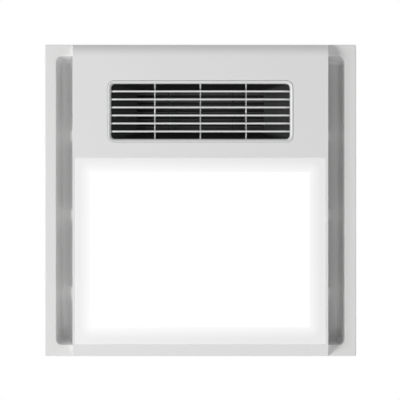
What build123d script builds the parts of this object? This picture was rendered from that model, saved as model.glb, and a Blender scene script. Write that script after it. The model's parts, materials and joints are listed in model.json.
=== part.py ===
"""Bathroom ceiling heater: a 300 mm ceiling module with a warm-air outlet and a lit panel.

Drawn in its place of use, face down, in millimetres. +Z points up into the ceiling void and z = 0 is
the ceiling plane, on which the border of the face lies. The grille is at the -Y end of the face.
"""

import os
from math import cos, radians, sin

from build123d import *

os.makedirs("parts", exist_ok=True)

LOW = (Align.CENTER, Align.CENTER, Align.MIN)
HIGH = (Align.CENTER, Align.CENTER, Align.MAX)

# Clearances and overruns
cut_over = 1.0
seam = 0.25
slide_gap = 0.3
running_gap = 0.08
screw_gap = 0.1
seat_gap = 0.02

# Face frame: border on the ceiling, tray sunk behind it
module = 300.0
border_width = 10.8
border_thickness = 5.0
outer_corner_radius = 1.5
outer_edge_radius = 0.8
recess_depth = 14.0
recess_lean = 5.0
recess_corner_radius = 6.0
scoop_radius = 5.0
lip_radius = 0.8
tray_wall = 2.0
slot_length = 20.0
slot_width = 6.0
slot_pitch = 12.0
slot_count = 17
slot_inset = 33.0
pillar_radius = 4.0
pillar_columns = 170.0
rib_length = 11.0
rib_reach = 2.6
rib_width = 6.4
rib_setback = 0.3
rib_foot_height = 2.0
rib_shares = (-0.21, 0.046, 0.296)
stud_radius = 3.0
stud_height = 12.0
stud_inset = 31.0
stud_shank_radius = 1.6

# Centre panel
panel_width = 245.8
panel_rise = 10.0
panel_wall = 2.2
side_wall = 2.0
side_skirt = 4.0
side_edge_radius = 0.3
round_end = 11.0
sloped_end = 11.5
bridge_wall = 2.0
bridge_depth = 9.0

# Light: diffuser, gasket, tray, strips and chips
diffuser_length = 179.1
diffuser_depth = 9.0
diffuser_wall = 2.0
diffuser_corner_radius = 1.5
diffuser_edge_radius = 0.8
gasket_thickness = 1.0
led_tray_thickness = 1.0
led_rim_height = 4.0
strip_count = 6
strip_side_gap = 10.25
strip_end_gap = 9.6
strip_width = 12.0
strip_thickness = 1.6
chip_count = 12
chip_end_gap = 11.2
chip_size = 3.0
chip_height = 0.8

# Outlet: grille, shroud, louvres
outlet_field = 97.9
outlet_setback = 53.4
mouth_length = 172.0
mouth_width = 52.9
mouth_radius = 3.9
grille_rim = 3.35
grille_rim_radius = 6.7
grille_proud = 0.3
grille_bevel = 1.3
grille_collar_wall = 1.5
grille_collar_depth = 5.8
grille_flange = 3.8
grille_flange_thickness = 1.2
bar_count = 6
bar_pitch = 7.7
bar_radius = 0.9
bar_setback = 1.1
bar_end_run = 4.5
bar_end_depth = 3.7
bar_end_radius = 4.0
bar_bite = 0.6
cross_bar_pitch = 43.8
cross_bar_radius = 0.7
cross_bar_bite = 0.3
shroud_length = 122.8
shroud_width = 42.4
shroud_radius = 2.0
shroud_wall = 1.5
shroud_flange_thickness = 1.2
shroud_shoulder = 4.0
shroud_shoulder_thickness = 1.4
neck_gap = 0.5
louvre_frame_length = 128.0
louvre_frame_width = 52.0
louvre_frame_wall = 1.5
louvre_frame_flange = 5.0
louvre_frame_flange_thickness = 1.5
guard_rib_spacing = 62.0
guard_rib_width = 1.2
louvre_count = 6
louvre_pitch = 7.0
louvre_chord = 10.0
louvre_thickness = 1.2
louvre_lift = 9.0
louvre_end_gap = 0.5
louvre_pin_radius = 1.5
louvre_rest_angle = -45.0
louvre_middle_angle = -12.5
crank_radius = 3.6
crank_thickness = 1.8
crank_hub_radius = 2.2
crank_arm_width = 2.8
crank_pin_radius = 0.75
crank_pin_overhang = 0.4
link_thickness = 1.6
link_height = 3.2
louvre_motor_radius = 7.4
louvre_motor_length = 12.0
louvre_motor_edge_radius = 1.0
drive_shaft_reach = 6.5

# Mounting tub in the ceiling and the base plate on it
tub_size = 288.0
tub_corner_radius = 4.0
sheet = 1.0
plenum_height = 20.0
tub_ledge = 1.5
hanging_x = 256.0
hanging_y = 160.0
hanging_hole_radius = 3.25
clip_size = 12.0
clip_height = 9.0
clip_gap = 0.1

# Housing box over the base plate
box_half_width = 104.0
box_front_gap = 28.0
box_back_gap = 16.0
box_height = 128.0
box_corner_radius = 4.0
box_flange = 7.0

# Blower
blower_setback = 73.0
inlet_radius = 42.0
inlet_flare = 7.0
inlet_flange = 10.0
inlet_height = 20.0
inlet_shoulder = 6.0
scroll_height = 62.0
scroll_start_radius = 50.0
scroll_end_radius = 71.0
scroll_steps = 12
scroll_turn = 270.0
scroll_reach = 73.5
scroll_tongue_x = 10.0
scroll_roof_hole = 32.0
impeller_radius = 46.0
impeller_inner_radius = 38.0
impeller_height = 48.0
impeller_lift = 3.5
impeller_plate = 1.5
impeller_blades = 36
impeller_blade_thickness = 0.8
impeller_blade_sweep = 9.0
impeller_bow_share = 0.15
impeller_ring_width = 6.0
hub_radius = 9.0
hub_length = 18.0
shaft_radius = 4.0
shaft_below_hub = 2.0
shaft_in_motor = 8.0
nut_radius = 7.0
motor_radius = 33.0
motor_height = 35.0
motor_edge_radius = 3.0
motor_boss_radius = 10.0
motor_boss_height = 4.5
bracket_radius = 48.0
bracket_thickness = 1.5
bracket_hole_radius = 15.0
rubber_mount_radius = 5.0
rubber_mount_height = 3.5
rubber_mount_circle = 40.5
vent_slot_count = 10
vent_slot_length = 12.0
vent_slot_width = 2.4
vent_circle_share = 0.6

# Heater
heater_height = 21.0
heater_wall = 1.5
heater_flange = 5.0
heater_flange_thickness = 1.2
heater_core_lift = 4.0
heater_core_height = 14.0
heater_bar_width = 5.0
heater_bar_pitch = 13.5
heater_bar_count = 3
heater_ledge = 1.5
fin_thickness = 0.4
fin_pitch = 5.0
terminal_reach = 10.0
terminal_width = 6.0
terminal_thickness = 0.8
cutout_radius = 7.0
cutout_length = 5.0

# Changeover damper
damper_setback = 4.5
damper_pivot_z = 57.0
damper_length = 88.5
damper_width = 150.0
damper_thickness = 1.2
damper_sleeve_radius = 3.2
damper_shaft_radius = 2.0
damper_seal_thickness = 2.6
damper_pad_thickness = 3.0
damper_pad_width = 7.0
bush_radius = 3.3
bush_length = 3.0
damper_motor_radius = 14.0
damper_motor_length = 18.0
damper_motor_edge_radius = 1.5
damper_shaft_reach = 14.0
damper_pad_overlap = 2.0

# Exhaust collar and its two flaps
collar_radius = 39.25
collar_wall = 1.5
collar_length = 30.0
collar_z = 103.0
collar_screw_spacing = 86.0
collar_screw_inset = 6.0
collar_flange = collar_screw_spacing + 2 * collar_screw_inset
collar_flange_corner_radius = 6.0
collar_seal_gap = 0.6
collar_seal_width = 2.5
flap_pin_radius = 1.2
flap_pin_setback = 8.0
flap_gap = 0.55
flap_thickness = 0.8
flap_offset = 1.0
flap_knuckle_wall = 0.92
flap_knuckle_length = 14.0
flap_knuckle_pitch = 16.0
flap_edge_gap = 0.6

# Electrical parts on the ledge of the tub
terminal_box_width = 28.0
terminal_box_length = 90.0
terminal_box_height = 30.0
terminal_box_wall = 1.6
terminal_box_corner_radius = 3.0
ledge_part_inset = 3.0
board_rail = 2.0
board_lift = 20.5
board_gap = 7.2
board_thickness = 1.6
relay_size = 13.0
relay_height = 5.0
terminal_block_width = 16.0
terminal_block_length = 30.0
terminal_block_height = 14.0
terminal_hole_radius = 2.0
terminal_hole_count = 4
capacitor_radius = 9.0
capacitor_end_gap = 6.0
capacitor_edge_radius = 1.0
gland_radius = 8.0
gland_bore_radius = 4.0
gland_nut = 19.0
gland_nut_length = 5.0
gland_outer_length = 14.0
gland_thread_radius = 7.0
gland_inner_length = 3.0
gland_edge_radius = 1.5
driver_width = 28.0
driver_length = 80.0
driver_height = 22.0
driver_edge_radius = 2.0
driver_ear_width = 12.0
driver_ear_length = 8.0
driver_ear_thickness = 1.5
earth_tag_length = 16.0
earth_tag_width = 8.0
earth_gap = 14.0

# Screws: head radius, head height and shank radius, lengths by use
small_head_radius = 2.6
small_head_height = 1.5
small_shank_radius = 1.2
panel_screw_length = 7.5
panel_screw_spacing = 90.0
led_screw_length = 9.0
housing_head_radius = 3.2
housing_head_height = 2.2
housing_shank_radius = 1.9
housing_screw_spacing = 80.0
collar_screw_length = 2.1
motor_screw_length = 6.5
slot_share = 0.5

# Turns, in degrees
quarter_turn = 90.0
half_turn = 180.0

# Levels, from the face upwards
border_front = -border_thickness
panel_front = border_front - panel_rise
skirt_end = border_front + side_skirt
tray_floor = border_front + recess_depth
tray_top = tray_floor + tray_wall
plate_low = tray_top + plenum_height
plate_top = plate_low + sheet
box_top = plate_top + box_height
module_length = round_end + outlet_field + diffuser_length + 2 * seam + sloped_end
half_length = module_length / 2
recess_half = module / 2 - border_width
recess_half_length = half_length - border_width
stud_spacing = (module - 2 * stud_inset, module_length - 2 * stud_inset)
lean_per_height = recess_lean / recess_depth
panel_half = panel_width / 2
panel_inner_half = panel_half - side_wall
opening_high_y = half_length - sloped_end
round_start = -half_length + round_end
outlet_y = round_start + outlet_setback
light_y = opening_high_y - seam - diffuser_length / 2
diffuser_width = 2 * (panel_inner_half - seam)
gasket_low = panel_front + diffuser_depth
led_tray_low = gasket_low + gasket_thickness
led_tray_back = led_tray_low + led_tray_thickness
rim_length = diffuser_width - 2 * (diffuser_wall + slide_gap)
rim_width = diffuser_length - 2 * (diffuser_wall + slide_gap)
strip_length = rim_length - 2 * (led_tray_thickness + strip_end_gap)
strip_pitch = (rim_width - 2 * (led_tray_thickness + strip_side_gap) - strip_width) / (strip_count - 1)
chip_pitch = (strip_length - 2 * chip_end_gap) / (chip_count - 1)
pillar_rows = 2 * strip_pitch
tub_length = module_length - module + tub_size
box_low_y = box_front_gap - tub_length / 2
box_high_y = tub_length / 2 - box_back_gap
blower_y = box_high_y - blower_setback
scroll_outlet_y = blower_y - scroll_reach
damper_pivot_y = box_low_y + damper_setback
earth_y = driver_length / 2 + driver_ear_length + earth_gap


def write(builder, label):
    """Names a finished piece and writes it to its own file."""
    builder.part.label = label
    export_step(builder.part, f"parts/{label}.step")


def outlet_ring(outer, inner, low, height, corner_radius):
    """Upright ring about the outlet, between an outer and an inner rectangle."""
    with BuildPart() as ring:
        with BuildSketch(Plane.XY.offset(low)):
            with Locations((0, outlet_y)):
                RectangleRounded(*outer, corner_radius)
                Rectangle(*inner, mode=Mode.SUBTRACT)
        extrude(amount=height)
    return ring.part


def screw_group(label, seat, places, head_radius, head_height, shank_radius, length):
    """Slotted screws whose heads stand on the seat plane, on its +Z side."""
    with BuildPart(seat) as screws:
        with Locations(*places):
            Cylinder(head_radius, head_height, align=LOW)
            Cylinder(shank_radius, length, align=HIGH)
        with Locations(*[Vector(*place) + Vector(0, 0, head_height) for place in places]):
            Box(
                head_radius,
                shank_radius * slot_share,
                head_height * slot_share,
                align=HIGH,
                mode=Mode.SUBTRACT,
            )
    write(screws, label)


# Places shared by screws and their holes
panel_screw_y = half_length - border_width / 2
panel_screw_places = [
    (x * panel_screw_spacing, y * panel_screw_y) for x in (-1, 0, 1) for y in (-1, 1)
]
led_screw_places = [
    (x * pillar_columns / 2, light_y + y * pillar_rows) for x in (-1, 1) for y in (-1, 0, 1)
]
box_middle_y = (box_low_y + box_high_y) / 2
housing_screw_x = box_half_width + box_flange / 2
housing_screw_places = [
    (x * housing_screw_x, box_middle_y + y * housing_screw_spacing) for x in (-1, 1) for y in (-1, 0, 1)
]

rubber_mount_places = [
    (
        rubber_mount_circle * cos(radians(angle)),
        rubber_mount_circle * sin(radians(angle)),
    )
    for angle in (45, 135, 225, 315)
]
driver_x = terminal_box_width / 2 + ledge_part_inset - tub_size / 2
driver_screw_places = [
    (driver_x, y * (driver_length + driver_ear_length) / 2) for y in (-1, 1)
]
earth_place = (driver_x, earth_y)


# Face frame: border, lip, scooped tray with intake slots, ribs, pillars and studs
def recess_size(height_above_border, extra):
    """Width and length of the recess at a height above the border's face, with a wall on each side."""
    grown = extra - lean_per_height * height_above_border
    return 2 * (recess_half + grown), 2 * (recess_half_length + grown)


with BuildPart() as recess_void:
    with BuildSketch(Plane.XY.offset(border_front)):
        RectangleRounded(*recess_size(0, 0), recess_corner_radius)
    with BuildSketch(Plane.XY.offset(tray_floor)):
        RectangleRounded(*recess_size(recess_depth, 0), recess_corner_radius)
    loft()
    fillet(recess_void.faces().sort_by(Axis.Z)[-1].edges(), radius=scoop_radius)

with BuildPart() as face_frame:
    with BuildSketch(Plane.XY.offset(border_front)):
        RectangleRounded(module, module_length, outer_corner_radius)
    extrude(amount=border_thickness)
    with BuildSketch(Plane.XY):
        RectangleRounded(*recess_size(border_thickness, tray_wall), recess_corner_radius + tray_wall)
    with BuildSketch(Plane.XY.offset(tray_top)):
        RectangleRounded(
            *recess_size(recess_depth + tray_wall, tray_wall), recess_corner_radius + tray_wall
        )
    loft()
    fillet(face_frame.faces().sort_by(Axis.Z)[-1].edges(), radius=scoop_radius)
    add(recess_void.part, mode=Mode.SUBTRACT)
    fillet(face_frame.faces().sort_by(Axis.Z)[0].inner_wires()[0].edges(), radius=lip_radius)
    fillet(face_frame.faces().sort_by(Axis.Z)[0].outer_wire().edges(), radius=outer_edge_radius)
    with BuildSketch(Plane.XY.offset(led_tray_back)):
        with Locations(*led_screw_places):
            Circle(pillar_radius)
    extrude(amount=tray_floor - led_tray_back)
    with BuildSketch(Plane.XY.offset(tray_floor - rib_foot_height)):
        for side in (-1, 1):
            foot_x = side * (panel_half + rib_reach - rib_width / 2)
            with Locations(*[(foot_x, share * module_length) for share in rib_shares]):
                Rectangle(rib_width, rib_length)
    extrude(amount=rib_foot_height)
    post_width = rib_width - rib_reach - rib_setback
    with BuildSketch(Plane.XY.offset(skirt_end)):
        for side in (-1, 1):
            post_x = side * (panel_half - rib_setback - post_width / 2)
            with Locations(*[(post_x, share * module_length) for share in rib_shares]):
                Rectangle(post_width, rib_length)
    extrude(amount=tray_floor - skirt_end)
    with BuildSketch(Plane.XY.offset(tray_floor - cut_over)):
        with GridLocations(*stud_spacing, 2, 2):
            Circle(stud_shank_radius + seat_gap)
        with Locations((0, outlet_y)):
            Rectangle(
                shroud_length + 2 * (shroud_wall + neck_gap), shroud_width + 2 * (shroud_wall + neck_gap)
            )
        for side in (-1, 1):
            with Locations((side * (recess_half - slot_inset), 0)):
                with GridLocations(0, slot_pitch, 1, slot_count):
                    SlotOverall(slot_length, slot_width)
    extrude(amount=tray_wall + 2 * cut_over, mode=Mode.SUBTRACT)
    with BuildSketch(Plane.XY.offset(led_tray_back)):
        with Locations(*led_screw_places):
            Circle(small_shank_radius)
    extrude(amount=led_screw_length, mode=Mode.SUBTRACT)
    with BuildSketch(Plane.XY):
        with Locations(*panel_screw_places):
            Circle(small_head_radius + screw_gap)
    extrude(amount=-small_head_height - screw_gap, mode=Mode.SUBTRACT)
    with BuildSketch(Plane.XY):
        with Locations(*panel_screw_places):
            Circle(small_shank_radius + screw_gap)
    extrude(amount=-border_thickness - cut_over, mode=Mode.SUBTRACT)
write(face_frame, "face_frame")

# Studs that the clips of the tub hold, with their shanks pressed into the tray
with BuildPart() as frame_studs:
    with BuildSketch(Plane.XY.offset(tray_top)):
        with GridLocations(*stud_spacing, 2, 2):
            Circle(stud_radius)
    extrude(amount=stud_height)
    with BuildSketch(Plane.XY.offset(tray_floor)):
        with GridLocations(*stud_spacing, 2, 2):
            Circle(stud_shank_radius)
    extrude(amount=tray_wall)
write(frame_studs, "frame_studs")

# Centre panel: raised strip with a rounded end and a sloped end
with BuildPart() as centre_panel:
    with BuildSketch(Plane.YZ):
        with BuildLine():
            Line((-half_length, border_front), (half_length, border_front))
            Line((half_length, border_front), (opening_high_y, panel_front))
            Line((opening_high_y, panel_front), (round_start, panel_front))
            EllipticalCenterArc(
                (round_start, border_front),
                round_end,
                panel_rise,
                start_angle=half_turn,
                arc_size=quarter_turn,
            )
        make_face()
    extrude(amount=panel_half, both=True)
    side_edges = centre_panel.edges().filter_by(GeomType.LINE).filter_by(Axis.Y)
    fillet(side_edges.group_by(Axis.Z)[0], radius=side_edge_radius)
    with BuildSketch(Plane.XY.offset(panel_front + panel_wall)):
        cavity_low_y = round_start + panel_wall
        with Locations((0, (cavity_low_y + opening_high_y) / 2)):
            Rectangle(2 * panel_inner_half, opening_high_y - cavity_low_y)
    extrude(amount=panel_rise, mode=Mode.SUBTRACT)
    with BuildSketch(Plane.XY.offset(border_front)):
        with GridLocations(2 * panel_half - side_wall, 0, 2, 1):
            Rectangle(side_wall, recess_size(side_skirt, -2 * slide_gap)[1])
    extrude(amount=side_skirt)
    with BuildSketch(Plane.XY.offset(panel_front - cut_over)):
        with Locations((0, light_y)):
            Rectangle(2 * panel_inner_half, diffuser_length + 2 * seam)
        with Locations((0, outlet_y)):
            RectangleRounded(
                mouth_length + 2 * grille_rim, mouth_width + 2 * grille_rim, grille_rim_radius
            )
    extrude(amount=panel_wall + 2 * cut_over, mode=Mode.SUBTRACT)
    with BuildSketch(Plane.XY.offset(panel_front)):
        with Locations((0, light_y - diffuser_length / 2 - seam - bridge_wall / 2)):
            Rectangle(2 * panel_inner_half, bridge_wall)
    extrude(amount=bridge_depth)
    with BuildSketch(Plane.XY.offset(border_front)):
        with Locations(*panel_screw_places):
            Circle(small_shank_radius)
    extrude(amount=border_thickness - panel_screw_length, mode=Mode.SUBTRACT)
write(centre_panel, "centre_panel")

screw_group(
    "panel_screws",
    Plane.XY.offset(-small_head_height - screw_gap),
    panel_screw_places,
    small_head_radius,
    small_head_height,
    small_shank_radius,
    panel_screw_length - small_head_height - screw_gap,
)

# Outlet grille: bevelled rim, collar, flange, long bars with bent ends, cross bars behind them
grille_front = panel_front - grille_proud
flange_low = panel_front + panel_wall
flange_top = flange_low + grille_flange_thickness
collar_top = flange_low + grille_collar_depth
bar_z = panel_front + bar_setback
with BuildPart() as outlet_grille:
    with BuildSketch(Plane.XY.offset(grille_front)):
        with Locations((0, outlet_y)):
            RectangleRounded(
                mouth_length + 2 * (grille_rim - seam),
                mouth_width + 2 * (grille_rim - seam),
                grille_rim_radius - seam,
            )
    extrude(amount=flange_low - grille_front)
    with BuildSketch(Plane.XY.offset(flange_low)):
        with Locations((0, outlet_y)):
            RectangleRounded(
                mouth_length + 2 * (grille_rim + grille_flange),
                mouth_width + 2 * (grille_rim + grille_flange),
                grille_rim_radius,
            )
    extrude(amount=grille_flange_thickness)
    with BuildSketch(Plane.XY.offset(flange_low)):
        with Locations((0, outlet_y)):
            RectangleRounded(
                mouth_length + 2 * grille_collar_wall,
                mouth_width + 2 * grille_collar_wall,
                mouth_radius + grille_collar_wall,
            )
    extrude(amount=grille_collar_depth)
    with BuildSketch(Plane.XY.offset(grille_front)):
        with Locations((0, outlet_y)):
            RectangleRounded(mouth_length, mouth_width, mouth_radius)
    extrude(amount=collar_top - grille_front, mode=Mode.SUBTRACT)
    chamfer(
        outlet_grille.faces().sort_by(Axis.Z)[0].inner_wires()[0].edges(),
        length=grille_bevel,
    )
    bar_half = mouth_length / 2 + bar_bite
    for index in range(bar_count):
        bar_y = outlet_y + (index - (bar_count - 1) / 2) * bar_pitch
        with BuildLine(Plane.XZ.offset(-bar_y)) as bar_path:
            FilletPolyline(
                (-bar_half, bar_z + bar_end_depth),
                (-bar_half + bar_end_run, bar_z),
                (bar_half - bar_end_run, bar_z),
                (bar_half, bar_z + bar_end_depth),
                radius=bar_end_radius,
            )
        with BuildSketch(Plane(origin=bar_path.line @ 0, z_dir=bar_path.line % 0)):
            Circle(bar_radius)
        sweep(path=bar_path.line)
    cross_z = bar_z + bar_radius + cross_bar_radius - cross_bar_bite
    cross_half = mouth_width / 2 + bar_bite
    with BuildSketch(Plane.XZ.offset(-outlet_y)):
        with Locations((-cross_bar_pitch, cross_z), (0, cross_z), (cross_bar_pitch, cross_z)):
            Circle(cross_bar_radius)
    extrude(amount=cross_half, both=True)
write(outlet_grille, "outlet_grille")

# Outlet shroud: funnel from the grille's collar to the louvres
funnel_low = collar_top + slide_gap
collar_clear_length = mouth_length + 2 * (grille_collar_wall + slide_gap)
collar_clear_width = mouth_width + 2 * (grille_collar_wall + slide_gap)
shoulder_low = tray_floor - shroud_shoulder_thickness
with BuildPart() as outlet_shroud:
    with BuildSketch(Plane.XY.offset(flange_top)):
        with Locations((0, outlet_y)):
            RectangleRounded(
                mouth_length + 2 * (grille_rim + grille_flange),
                mouth_width + 2 * (grille_rim + grille_flange),
                grille_rim_radius,
            )
    extrude(amount=shroud_flange_thickness)
    with BuildSketch(Plane.XY.offset(flange_top)):
        with Locations((0, outlet_y)):
            RectangleRounded(
                collar_clear_length + 2 * shroud_wall,
                collar_clear_width + 2 * shroud_wall,
                mouth_radius + shroud_wall,
            )
    extrude(amount=funnel_low - flange_top)
    with BuildSketch(Plane.XY.offset(funnel_low)):
        with Locations((0, outlet_y)):
            RectangleRounded(
                collar_clear_length + 2 * shroud_wall,
                collar_clear_width + 2 * shroud_wall,
                mouth_radius + shroud_wall,
            )
    with BuildSketch(Plane.XY.offset(tray_floor)):
        with Locations((0, outlet_y)):
            RectangleRounded(
                shroud_length + 2 * shroud_wall, shroud_width + 2 * shroud_wall, shroud_radius + shroud_wall
            )
    loft()
    with BuildSketch(Plane.XY.offset(shoulder_low)):
        with Locations((0, outlet_y)):
            RectangleRounded(
                shroud_length + 2 * (shroud_wall + shroud_shoulder),
                shroud_width + 2 * (shroud_wall + shroud_shoulder),
                shroud_radius + shroud_wall,
            )
    extrude(amount=shroud_shoulder_thickness)
    with BuildSketch(Plane.XY.offset(tray_floor)):
        with Locations((0, outlet_y)):
            RectangleRounded(
                shroud_length + 2 * shroud_wall, shroud_width + 2 * shroud_wall, shroud_radius + shroud_wall
            )
    extrude(amount=tray_wall)
    with BuildSketch(Plane.XY.offset(funnel_low)):
        with Locations((0, outlet_y)):
            RectangleRounded(collar_clear_length, collar_clear_width, mouth_radius)
    with BuildSketch(Plane.XY.offset(tray_floor)):
        with Locations((0, outlet_y)):
            RectangleRounded(shroud_length, shroud_width, shroud_radius)
    loft(mode=Mode.SUBTRACT)
    with BuildSketch(Plane.XY.offset(flange_top)):
        with Locations((0, outlet_y)):
            RectangleRounded(collar_clear_length, collar_clear_width, mouth_radius)
    extrude(amount=funnel_low - flange_top, mode=Mode.SUBTRACT)
    with BuildSketch(Plane.XY.offset(tray_floor)):
        with Locations((0, outlet_y)):
            RectangleRounded(shroud_length, shroud_width, shroud_radius)
    extrude(amount=tray_wall, mode=Mode.SUBTRACT)
write(outlet_shroud, "outlet_shroud")

# Light diffuser: shallow tray of opal plastic, open at the back
with BuildPart() as light_diffuser:
    with BuildSketch(Plane.XY.offset(panel_front)):
        with Locations((0, light_y)):
            RectangleRounded(diffuser_width, diffuser_length, diffuser_corner_radius)
    extrude(amount=diffuser_depth)
    fillet(light_diffuser.faces().sort_by(Axis.Z)[0].edges(), radius=diffuser_edge_radius)
    with BuildSketch(Plane.XY.offset(panel_front + diffuser_wall)):
        with Locations((0, light_y)):
            Rectangle(diffuser_width - 2 * diffuser_wall, diffuser_length - 2 * diffuser_wall)
    extrude(amount=diffuser_depth, mode=Mode.SUBTRACT)
write(light_diffuser, "light_diffuser")

# Diffuser gasket: foam between the diffuser's edge and the light tray
with BuildPart() as diffuser_gasket:
    with BuildSketch(Plane.XY.offset(gasket_low)):
        with Locations((0, light_y)):
            RectangleRounded(diffuser_width, diffuser_length, diffuser_corner_radius)
            Rectangle(
                diffuser_width - 2 * diffuser_wall, diffuser_length - 2 * diffuser_wall, mode=Mode.SUBTRACT
            )
    extrude(amount=gasket_thickness)
write(diffuser_gasket, "diffuser_gasket")

# Light tray: plate behind the gasket with a rim that stands inside the diffuser
with BuildPart() as led_tray:
    with BuildSketch(Plane.XY.offset(led_tray_low)):
        with Locations((0, light_y)):
            RectangleRounded(diffuser_width, diffuser_length, diffuser_corner_radius)
    extrude(amount=led_tray_thickness)
    with BuildSketch(Plane.XY.offset(led_tray_low)):
        with Locations((0, light_y)):
            Rectangle(rim_length, rim_width)
            Rectangle(
                rim_length - 2 * led_tray_thickness, rim_width - 2 * led_tray_thickness, mode=Mode.SUBTRACT
            )
    extrude(amount=-led_rim_height)
    with BuildSketch(Plane.XY.offset(led_tray_low)):
        with Locations(*led_screw_places):
            Circle(small_shank_radius + screw_gap)
    extrude(amount=led_tray_thickness, mode=Mode.SUBTRACT)
write(led_tray, "led_tray")

# Light strips and their chips
strip_low = led_tray_low - strip_thickness
with BuildPart() as led_strips:
    with BuildSketch(Plane.XY.offset(strip_low)):
        with Locations((0, light_y)):
            with GridLocations(0, strip_pitch, 1, strip_count):
                RectangleRounded(strip_length, strip_width, strip_thickness)
    extrude(amount=strip_thickness)
write(led_strips, "led_strips")

with BuildPart() as led_chips:
    with BuildSketch(Plane.XY.offset(strip_low)):
        with Locations((0, light_y)):
            with GridLocations(chip_pitch, strip_pitch, chip_count, strip_count):
                Rectangle(chip_size, chip_size)
    extrude(amount=-chip_height)
write(led_chips, "led_chips")

screw_group(
    "led_tray_screws",
    Plane.XY.offset(led_tray_low).rotated((half_turn, 0, 0)),
    [(x, -y) for x, y in led_screw_places],
    small_head_radius,
    small_head_height,
    small_shank_radius,
    led_screw_length,
)

# Louvre frame on the tray, with guard ribs and pivot holes
louvre_z = tray_top + louvre_lift
louvre_half = louvre_frame_length / 2
louvre_outer_half = louvre_half + louvre_frame_wall
louvre_places = [
    (outlet_y + (index - (louvre_count - 1) / 2) * louvre_pitch, louvre_z) for index in range(louvre_count)
]
with BuildPart() as louvre_frame:
    add(
        outlet_ring(
            (2 * louvre_outer_half, louvre_frame_width + 2 * louvre_frame_wall),
            (louvre_frame_length, louvre_frame_width),
            tray_top,
            plenum_height,
            louvre_frame_wall,
        )
    )
    add(
        outlet_ring(
            (
                2 * (louvre_outer_half + louvre_frame_flange),
                louvre_frame_width + 2 * (louvre_frame_wall + louvre_frame_flange),
            ),
            (shroud_length + 2 * neck_gap, shroud_width + 2 * neck_gap),
            tray_top,
            louvre_frame_flange_thickness,
            louvre_frame_wall,
        )
    )
    with BuildSketch(Plane.XY.offset(tray_top)):
        with Locations((0, outlet_y)):
            with GridLocations(guard_rib_spacing, 0, 2, 1):
                Rectangle(guard_rib_width, louvre_frame_width)
    extrude(amount=louvre_frame_flange_thickness)
    with BuildSketch(Plane.YZ):
        with Locations(*louvre_places):
            Circle(louvre_pin_radius + running_gap)
    extrude(amount=louvre_outer_half + cut_over, both=True, mode=Mode.SUBTRACT)
write(louvre_frame, "louvre_frame")

# Louvre blades: each has its pins in the frame and a crank beyond the +X wall
crank_low = louvre_outer_half + louvre_end_gap
crank_high = crank_low + crank_thickness
crank_turn = radians(louvre_rest_angle - louvre_middle_angle)
crank_dy = -crank_radius * sin(crank_turn)
crank_dz = crank_radius * cos(crank_turn)
pin_end = crank_high + louvre_end_gap + link_thickness + crank_pin_overhang
for number, (pivot_y, pivot_z) in enumerate(louvre_places, start=1):
    far_end = -louvre_outer_half - (drive_shaft_reach if number == 1 else -slide_gap)
    with BuildPart() as louvre:
        with BuildSketch(Plane.YZ.offset(-(louvre_half - louvre_end_gap))):
            with Locations((pivot_y, pivot_z)):
                SlotOverall(louvre_chord, louvre_thickness, rotation=quarter_turn + louvre_rest_angle)
        extrude(amount=2 * (louvre_half - louvre_end_gap))
        with BuildSketch(Plane.YZ.offset(far_end)):
            with Locations((pivot_y, pivot_z)):
                Circle(louvre_pin_radius)
        extrude(amount=crank_high - far_end)
        with BuildSketch(Plane.YZ.offset(crank_low)):
            with Locations((pivot_y, pivot_z)):
                Circle(crank_hub_radius)
            with Locations((pivot_y + crank_dy / 2, pivot_z + crank_dz / 2)):
                SlotCenterToCenter(
                    crank_radius,
                    crank_arm_width,
                    rotation=quarter_turn + louvre_rest_angle - louvre_middle_angle,
                )
        extrude(amount=crank_thickness)
        with BuildSketch(Plane.YZ.offset(crank_high)):
            with Locations((pivot_y + crank_dy, pivot_z + crank_dz)):
                Circle(crank_pin_radius)
        extrude(amount=pin_end - crank_high)
    write(louvre, f"louvre_{number}")

# Louvre link: one bar over the six crank pins
with BuildPart() as louvre_link:
    with BuildSketch(Plane.YZ.offset(crank_high + louvre_end_gap)):
        with Locations((outlet_y + crank_dy, louvre_z + crank_dz)):
            SlotCenterToCenter((louvre_count - 1) * louvre_pitch, link_height)
            with GridLocations(louvre_pitch, 0, louvre_count, 1):
                Circle(crank_pin_radius + running_gap, mode=Mode.SUBTRACT)
    extrude(amount=link_thickness)
write(louvre_link, "louvre_link")

# Louvre motor on the -X wall of the louvre frame
motor_y, motor_z = louvre_places[0]
with BuildPart() as louvre_motor:
    with BuildSketch(Plane.YZ.offset(-louvre_outer_half)):
        with Locations((motor_y, motor_z)):
            Circle(louvre_motor_radius)
    extrude(amount=-louvre_motor_length)
    fillet(louvre_motor.faces().sort_by(Axis.X)[0].edges(), radius=louvre_motor_edge_radius)
    with BuildSketch(Plane.YZ.offset(-louvre_outer_half)):
        with Locations((motor_y, motor_z)):
            Circle(louvre_pin_radius + running_gap)
    extrude(amount=-drive_shaft_reach - slide_gap, mode=Mode.SUBTRACT)
write(louvre_motor, "louvre_motor")

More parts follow.
